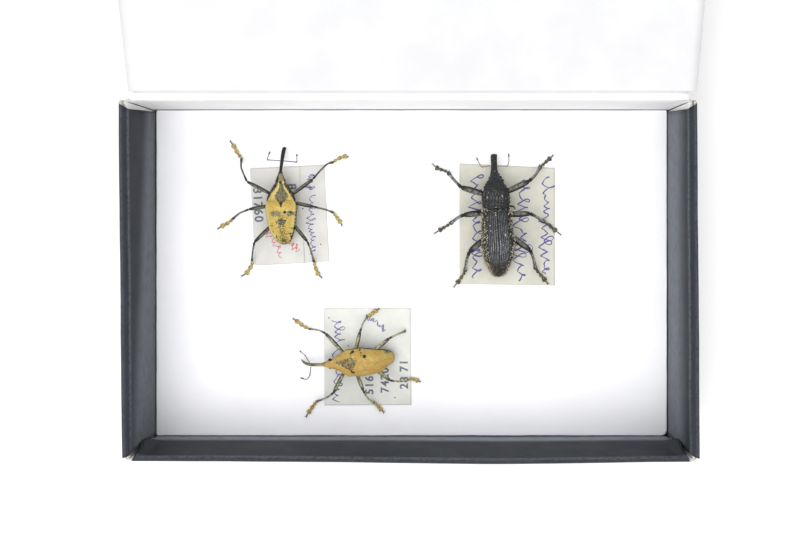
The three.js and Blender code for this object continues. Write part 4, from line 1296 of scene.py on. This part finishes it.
FRONT_LEGS = [
    ([(4.2, -1.6, 3.0), (9.7, -9.4, 6.0), (12.2, -10.3, 3.8), (15.3, -10.6, 1.2)],
     [(16.8, -11.2, 0.5), (18.0, -12.3, 0.5), (19.1, -13.2, 0.5), (20.3, -14.2, 0.3)]),
    ([(1.5, -2.0, 3.0), (-0.9, -9.1, 6.0), (-1.8, -11.3, 3.6), (-3.1, -12.8, 1.2)],
     [(-4.1, -13.4, 0.8), (-5.0, -14.0, 0.8), (-5.9, -14.6, 0.8), (-7.1, -15.2, 0.6)]),
    ([(-3.4, -1.8, 3.0), (-9.7, -6.4, 6.0), (-12.3, -7.1, 3.4), (-14.6, -7.6, 0.9)], []),
    ([(4.6, 2.4, 3.0), (8.6, 8.9, 6.0), (11.4, 10.8, 3.6), (14.7, 12.2, 1.0)],
     [(15.6, 13.1, 0.5), (16.6, 14.3, 0.5), (17.5, 15.4, 0.5), (18.6, 17.0, 0.3)]),
    ([(1.7, 2.8, 3.0), (-0.5, 9.0, 6.0), (-1.5, 11.8, 3.6), (-3.2, 13.9, 1.2)],
     [(-3.9, 14.7, 0.8), (-4.5, 15.5, 0.8), (-5.1, 16.3, 0.8), (-6.1, 17.4, 0.6)]),
    ([(-3.6, 2.4, 3.0), (-8.9, 6.5, 6.0), (-11.8, 7.4, 3.6), (-14.3, 7.5, 1.2)],
     [(-15.3, 7.4, 0.8), (-16.2, 7.7, 0.8), (-17.1, 8.1, 0.8), (-18.1, 8.7, 0.6)]),
]
FRONT_ANTENNAE = [
    [(15.2, 0.4, 3.0), (16.9, -2.9, 3.3), (18.5, -4.3, 2.8)],
    [(15.2, 0.4, 3.0), (15.8, 3.6, 3.4), (17.0, 4.7, 2.9), (19.0, 4.1, 2.5)],
]


def front_marks(x, over, y):
    """Ochre all over, faintly clouded, with a netted patch on the pronotum and a few black marks; the
    snout is bare grey, ochre only on its left side at the root."""
    side = np.abs(over)
    speckle = np.random.default_rng(4).uniform(0, 1, x.shape)
    patch = within(x, y, [(1.2, 0.3, 0.6), (1.9, 0.4, 1.9), (2.4, 0.5, 2.2), (3.5, 0.4, 1.9),
                          (5.6, 0.0, 0.85), (7.9, -0.3, 0.2)])
    # partly painted shade: the steep sides of the body are darkened, along with the wing cases' own dark edge
    margin = ramp(side, 0.8, 0.9) * (0.75 + 0.25 * np.cos(2 * math.pi * x / 0.8))
    blotches = spots(x, y, [
        (1.6, -3.05, 0.36, 0.34, 1.6), (2.0, -2.85, 0.46, 0.3, 1.4), (2.4, -2.55, 0.34, 0.3, 1.5),
        (2.0, 2.95, 0.5, 0.36, 1.5), (2.55, 2.7, 0.36, 0.36, 1.3), (-0.4, -3.4, 0.32, 0.32, 1.2),
        (-0.75, -2.7, 0.3, 0.24, 0.9), (-0.7, -2.0, 0.24, 0.26, 0.8), (-1.74, -1.6, 0.56, 0.56, 1.6),
        (9.3, -1.1, 1.1, 0.5, 1.3), (1.3, 0.1, 0.4, 0.5, 0.4), (-8.6, -2.3, 1.6, 0.5, 0.6),
    ])
    clouds = spots(x, y, [
        (-1.5, 2.2, 1.3, 0.9, 0.5), (1.0, -0.4, 0.9, 1.5, 0.5), (-9.0, -1.9, 1.5, 0.6, 0.7),
        (-5.0, 0.9, 1.6, 0.8, 0.35), (-1.74, -1.6, 0.15, 0.15, 0.75),
    ])
    root = ramp(x, 7.4, 9.2) * ramp(14.5 - x, 0, 2) * ramp(y - 0.1, 0, 0.4)
    bare = ramp(x, 9.6, 11.2)
    return {
        "dark": clipped(blotches + margin + ramp(side, 1.0, 1.15) + bare * (0.5 - 0.5 * root)),
        "grey": clipped(clouds + 0.5 * patch + bare * (1 - 0.8 * root)),
        "orange": clipped(0.3 + 0.4 * wave(x + 0.7 * y, 5.3, 6) + 0.4 * hump(y, 2.5, 1.2), top=0.8),
        "pale": clipped(0.35 * hump(side, 0.7, 0.1) + 0.45 * patch),
        "speck": clipped(0.3 * patch + 0.4 * speckle),
        "net": patch * (0.45 + 0.5 * ramp(x, 1.6, 3.4)),
        "fleck": np.zeros_like(x),
    }


def build_front_weevil():
    """The ochre weevil, on the label at the front."""
    spec = {
        "place": (-15.8, -26.3), "heading": -175.6, "leg_thickness": 1.16, "pad_breadths": (0.56, 0.66, 0.84),
        "leg_highlight_and_bloom": (0.8, 1.9), "legs": FRONT_LEGS, "antennae": FRONT_ANTENNAE,
        "eyes": (9.2, 0.2, 1.35, 4.5, 0.52),
        "body": [
            body_skin(FRONT_HIND, 200, 240, elytra_relief, front_marks, square=0.92),
            body_skin(FRONT_PRONOTUM, 90, 150, grained_relief(6, 0.07, 170), front_marks),
            body_skin(FRONT_HEAD, 110, 48, None, front_marks),
        ],
    }
    materials = [scaled_cuticle("ochre_scaled_cuticle", "B0954A", "A87F3C", "C2B274", "6A6750", "1E1C19"),
                 *horn_materials("ochre_weevil", "2A2A22", "B0AE8E", "B9A268", "7C6836", "505154")]
    build_weevil("ochre_weevil_front", "weevil_front", spec, materials)


RIGHT_HIND = [
    (-15.2, 0.2, 2.6, 0, 0), (-14.8, 0.2, 2.7, 1.2, 0.8), (-13.6, 0.1, 3.2, 2.5, 1.6),
    (-11.5, 0.1, 4.0, 3.6, 2.5), (-8.4, 0, 5.0, 4.8, 3.5), (-5.3, -0.1, 5.4, 5.25, 4.0),
    (-0.8, 0, 5.4, 4.95, 4.0), (2.8, 0, 5.2, 4.75, 3.7), (5.4, 0, 5.0, 4.6, 3.3), (6.3, 0, 4.9, 3.7, 2.6),
    (6.8, 0, 4.9, 0, 0),
]
RIGHT_PRONOTUM = [
    (5.0, 0, 4.8, 0, 0), (5.7, 0, 4.9, 3.7, 2.8), (6.8, 0, 5.0, 4.1, 3.3), (8.5, 0, 5.0, 4.25, 3.4),
    (10.0, 0, 4.9, 4.1, 3.2), (11.6, 0, 4.8, 3.6, 2.9), (13.0, 0, 4.7, 3.0, 2.5), (14.0, 0, 4.7, 2.35, 2.1),
    (14.6, 0, 4.7, 0, 0),
]
RIGHT_HEAD = [
    (11.4, 0, 4.8, 0, 0), (12.6, 0, 4.8, 2.3, 2.0), (14.4, 0, 4.8, 2.1, 1.8), (15.6, 0, 4.7, 1.6, 1.5),
    (17.2, 0, 4.3, 1.1, 1.1), (19.6, -0.1, 3.4, 0.9, 0.85), (21.8, -0.2, 2.5, 1.0, 0.8),
    (22.6, -0.3, 2.2, 0.95, 0.6), (22.8, -0.3, 2.1, 0, 0),
]
RIGHT_LEGS = [
    ([(10.0, 2.0, 3.2), (12.9, 10.5, 6.5), (15.2, 12.4, 4.0), (17.8, 14.2, 1.3)],
     [(18.5, 15.3, 0.6), (18.9, 16.6, 0.6), (19.5, 17.7, 0.6), (21.0, 19.1, 0.4)]),
    ([(10.2, -2.0, 3.2), (13.7, -10.3, 7.0), (15.5, -12.5, 4.5), (18.3, -14.7, 1.3)],
     [(18.9, -15.8, 0.6), (19.9, -16.8, 0.6), (20.6, -17.8, 0.6), (21.7, -19.1, 0.4)]),
    ([(4.9, 2.4, 3.2), (4.4, 10.2, 7.0), (3.7, 11.8, 4.8), (1.9, 14.2, 1.5)],
     [(1.2, 15.4, 0.6), (0.6, 16.6, 0.6), (0.0, 17.7, 0.6), (-1.1, 19.6, 0.4)]),
    ([(3.9, -2.4, 3.2), (3.8, -10.1, 7.0), (2.6, -12.4, 4.8), (0.9, -14.9, 1.5)],
     [(0.1, -16.0, 0.9), (-1.0, -17.2, 0.9), (-2.0, -18.4, 0.9), (-3.6, -20.2, 0.7)]),
    ([(-2.4, 2.8, 3.2), (-6.8, 9.0, 7.5), (-10.1, 10.0, 4.8), (-13.1, 10.4, 1.5)],
     [(-14.1, 11.0, 0.9), (-15.4, 12.0, 0.9), (-16.6, 13.0, 0.7), (-18.2, 14.4, 0.4)]),
    ([(-1.6, -2.8, 3.2), (-7.3, -9.5, 7.5), (-9.9, -10.6, 5.0), (-13.6, -11.5, 1.5)],
     [(-14.7, -12.4, 0.9), (-16.0, -13.4, 0.9), (-17.2, -14.3, 0.9), (-18.6, -15.3, 0.7)]),
]
RIGHT_ANTENNAE = [
    [(19.2, 0.3, 3.6), (18.8, 3.7, 4.2), (20.1, 4.5, 4.0), (22.0, 5.2, 3.4)],
    [(19.0, -0.5, 3.6), (18.7, -4.2, 4.2), (20.2, -4.7, 4.0), (22.7, -4.8, 3.4)],
]
RIBS = 13


def ribs(over, power):
    """1 on top of each of the thirteen ribs a side, 0 between them, narrower with a higher power."""
    return (0.5 - 0.5 * np.cos(2 * math.pi * np.abs(over) * RIBS)) ** power


def grains(x, over):
    """Rows of separate grains, one row to a rib, each grain of its own size: up to 1 on top of one."""
    row = np.abs(over) * RIBS
    lane = np.floor(row).astype(int)
    step = x / 0.76 + 0.37 * lane + 0.4 * (over > 0)
    number = np.floor(step).astype(int)
    sizes = np.random.default_rng(12).uniform(0, 1, (2, 2 * RIBS + 2, 64)) ** 1.3
    own = sizes[(over > 0).astype(int), lane, number % 64]
    return own * (np.sin(math.pi * (row - lane)) * np.sin(math.pi * (step - number))) ** 1.3


def ridged(x, over):
    """1 where the ribs run whole, behind the middle of the back; 0 where they are broken into grains."""
    return ramp(0.46 - np.abs(over), 0, 0.16) * ramp(5.8 - x, 0, 2.5) * ramp(x, -13.5, -10)


def ribbed_relief(x, over, y):
    """Black wing cases: raised ribs, broken into rows of grains at the front and along the sides."""
    rib = ribs(over, 0.8)
    own = grains(x, over)
    whole = ridged(x, over)
    raised = whole * rib * (0.12 + 0.14 * own) + (1 - whole) * (0.06 * rib + 0.5 * own)
    return upper_side(over) * (raised - 0.2) - 0.1 * hump(over, 0, 0.012)


def right_marks(x, over, y):
    """Black, with a painted grey sheen on the middle ribs and in streaks on the middle of the pronotum,
    clay dust and pale grains along the sides, and pale flecks and a forked crack on the pronotum."""
    side = np.abs(over)
    own = grains(x, over)
    hind = ramp(6.2 - x, 0, 0.6)
    fore = 1 - hind
    whole = ridged(x, over)
    # painted sheen: the middle ribs are made grey, most on the grain tops and a little behind the middle of
    # the back
    light = (0.25 + 0.75 * clipped(own * 1.6)) * (0.45 + 0.75 * hump(x, -6.0, 4.5))
    painted_sheen = ribs(over, 3) * whole * hind * light
    left = ramp(y, -1, 1)
    sides = ramp(side, 0.36 - 0.12 * left, 0.56 - 0.12 * left)
    on_neck = fore * ramp(12.5 - x, 0, 2) * (0.45 + 0.5 * ramp(side, 0.45, 0.75))
    # painted sheen: streaks of it down the middle of the pronotum
    lanes = clipped(np.cos(2 * math.pi * (y + 0.2 * wave(x, 3.1, 22)) / 0.9)) ** 3
    streaks = clipped(lanes * (0.25 + 0.45 * wave(x + 1.7 * y, 1.6, 23)))
    streaks = streaks * fore * hump(y, 0, 2.2) * hump(x, 9.0, 2.2)
    long_crack = hump(y - np.interp(x, [4.5, 6.75], [0.4, 4.76]), 0, 0.24)
    short_crack = 0.7 * hump(y - np.interp(x, [4.5, 6.2], [0.4, -2.0]), 0, 0.2) * ramp(6.4 - x, 0, 0.3)
    crack = (long_crack + short_crack) * ramp(x, 4.3, 4.7)
    flecks = spots(x, y, [
        (10.9, 2.3, 0.3, 0.2, 0.9), (9.3, 2.7, 0.45, 0.28, 1.0), (11.3, 0.4, 0.25, 0.18, 0.8),
        (9.6, -1.75, 0.6, 0.34, 0.9), (8.6, -1.4, 0.3, 0.25, 0.8), (6.3, 0.2, 0.4, 0.35, 0.8),
        (3.9, 0.6, 0.6, 0.3, 0.7), (0.8, 2.4, 0.26, 0.26, 1.1), (-0.8, 2.3, 0.22, 0.22, 1.1),
        (-3.6, 3.5, 0.22, 0.22, 1.1), (-2.3, -2.15, 0.5, 0.3, 0.9), (-9.7, -2.4, 0.2, 0.2, 1.0),
        (-9.65, -3.6, 0.25, 0.25, 0.9), (-12.4, -0.9, 0.25, 0.2, 0.8), (-11.0, 1.6, 0.2, 0.2, 0.7),
        (17.4, 0.0, 0.3, 0.5, 0.55),
    ])
    beaded = hind * (1 - whole) * (0.6 + 0.9 * sides) * (1 - 0.1 * ramp(-x, 1, 6)) + 0.9 * on_neck
    dusty = sides * hind * (0.25 + 0.15 * left)
    return {
        "painted_sheen": clipped(painted_sheen + streaks),
        "dust": clipped(dusty + 0.45 * ramp(side, 0.55, 0.85) + 0.5 * ramp(-x, 9, 13)),
        "bead": clipped(own * beaded * 1.35),
        "fleck": clipped(flecks + 0.8 * crack * (x < 7)),
    }


def tail_fringe():
    """Short golden bristles that lean back over the tip of the wing cases."""
    random = np.random.default_rng(17)
    count = 700
    at, _, z_line, half_widths, half_heights = np.array(RIGHT_HIND, float).T
    around = random.uniform(-1.8, 1.8, count)
    x = -14.9 + 6.5 * random.uniform(0, 1, count) ** 1.8
    half = round_ended(x, at, half_widths) + 0.15
    tall = round_ended(x, at, half_heights) + 0.15
    roots = surface(x, 0.1 + half * np.sin(around), smooth_through(x, at, z_line) + tall * np.cos(around))
    way = surface(-np.ones(count), 0.55 * np.sin(around), 0.45 * np.cos(around))
    way = way + random.normal(0, 0.25, (count, 3))
    return hairs(roots, way, random.uniform(0.25, 0.7, count), 0.03, FEELER)


def build_right_weevil():
    """The black weevil, on the label at the right, with a stub beside its shoulder and rough lumps
    beside its head."""
    bent = path_through([(6.4, -4.2, 4.6), (6.3, -5.1, 5.0), (5.3, -5.9, 4.7)], 12)
    spec = {
        "place": (26.4, 14.6), "heading": 92.9, "leg_thickness": 1.8, "pad_breadths": (0.5, 0.56, 0.86),
        "leg_highlight_and_bloom": (0.5, 0.8), "legs": RIGHT_LEGS, "antennae": RIGHT_ANTENNAE,
        "eyes": (15.3, 0, 1.55, 4.6, 0.55),
        "body": [
            body_skin(RIGHT_HIND, 200, 300, ribbed_relief, right_marks, square=0.88),
            body_skin(RIGHT_PRONOTUM, 100, 160, grained_relief(9, 0.42, 420), right_marks, square=0.95),
            body_skin(RIGHT_HEAD, 90, 52, grained_relief(10, 0.16, 120), right_marks),
            tail_fringe(),
            limb(bent, [(0, 0.3), (0.6, 0.24), (1, 0.08)], 10, LEG),
            blob((16.4, -1.25, 4.5), (0.5, 0.3, 0.5), SHELL, 60),
            blob((15.5, -1.8, 4.5), (0.6, 0.35, 0.6), SHELL, 50),
            blob((14.5, -2.4, 4.5), (0.6, 0.35, 0.6), SHELL, 55),
        ],
    }
    materials = [black_cuticle_painted_sheen(),
                 *horn_materials("black_weevil", "0B0C0D", "9C9A91", "6E6A50", "2C2A22", "857564")]
    build_weevil("black_weevil_right", "weevil_right", spec, materials)


# ---- stage, lights and camera -------------------------------------------------------------------
def build_stage():
    """A plain pale floor, one wide soft light from the front and an even fill from all round."""
    reach = 2.5
    below = -0.0002
    floor = bpy.data.meshes.new("floor")
    corners = [(-reach, -reach), (reach, -reach), (reach, reach), (-reach, reach)]
    floor.from_pydata([(x, y, below) for x, y in corners], [], [(0, 1, 2, 3)])
    floor.materials.append(new_material("pale_floor", Roughness=0.8, Base_Color=colour("F4F4F4"))[0])
    link("floor", floor)

    light = bpy.data.lights.new("window", "AREA")
    light.shape = "RECTANGLE"
    light.size = 1.3
    light.size_y = 1.0
    light.energy = 9.1
    lamp = link("window", light)
    lamp.location = (-0.28, -0.42, 1.1)
    lamp.rotation_euler = (-lamp.location).to_track_quat("-Z", "Y").to_euler()

    world = bpy.data.worlds.new("room")
    bpy.context.scene.world = world
    world.use_nodes = True
    sky = world.node_tree.nodes["Background"]
    sky.inputs["Color"].default_value = (1.0, 1.0, 1.0, 1.0)
    sky.inputs["Strength"].default_value = 1.1
    bpy.context.scene.view_settings.view_transform = "Standard"


def build_camera():
    """Looks straight down, a little off centre, from 30 cm over the foam."""
    camera = bpy.data.cameras.new("camera")
    focal_pixels = 948.7
    width_pixels = 800
    camera.sensor_width = 36.0
    camera.lens = focal_pixels / width_pixels * camera.sensor_width
    camera.shift_x = -36.0 / width_pixels
    camera.shift_y = -55.5 / width_pixels
    holder = link("camera", camera)
    holder.location = (7.62 * MM, 19.7 * MM, (FOAM_TOP + 296.0) * MM)
    bpy.context.scene.camera = holder


build_camera()
build_stage()
build_tray()
build_lid()
build_crease()
build_foam()
build_labels()
build_left_weevil()
build_front_weevil()
build_right_weevil()
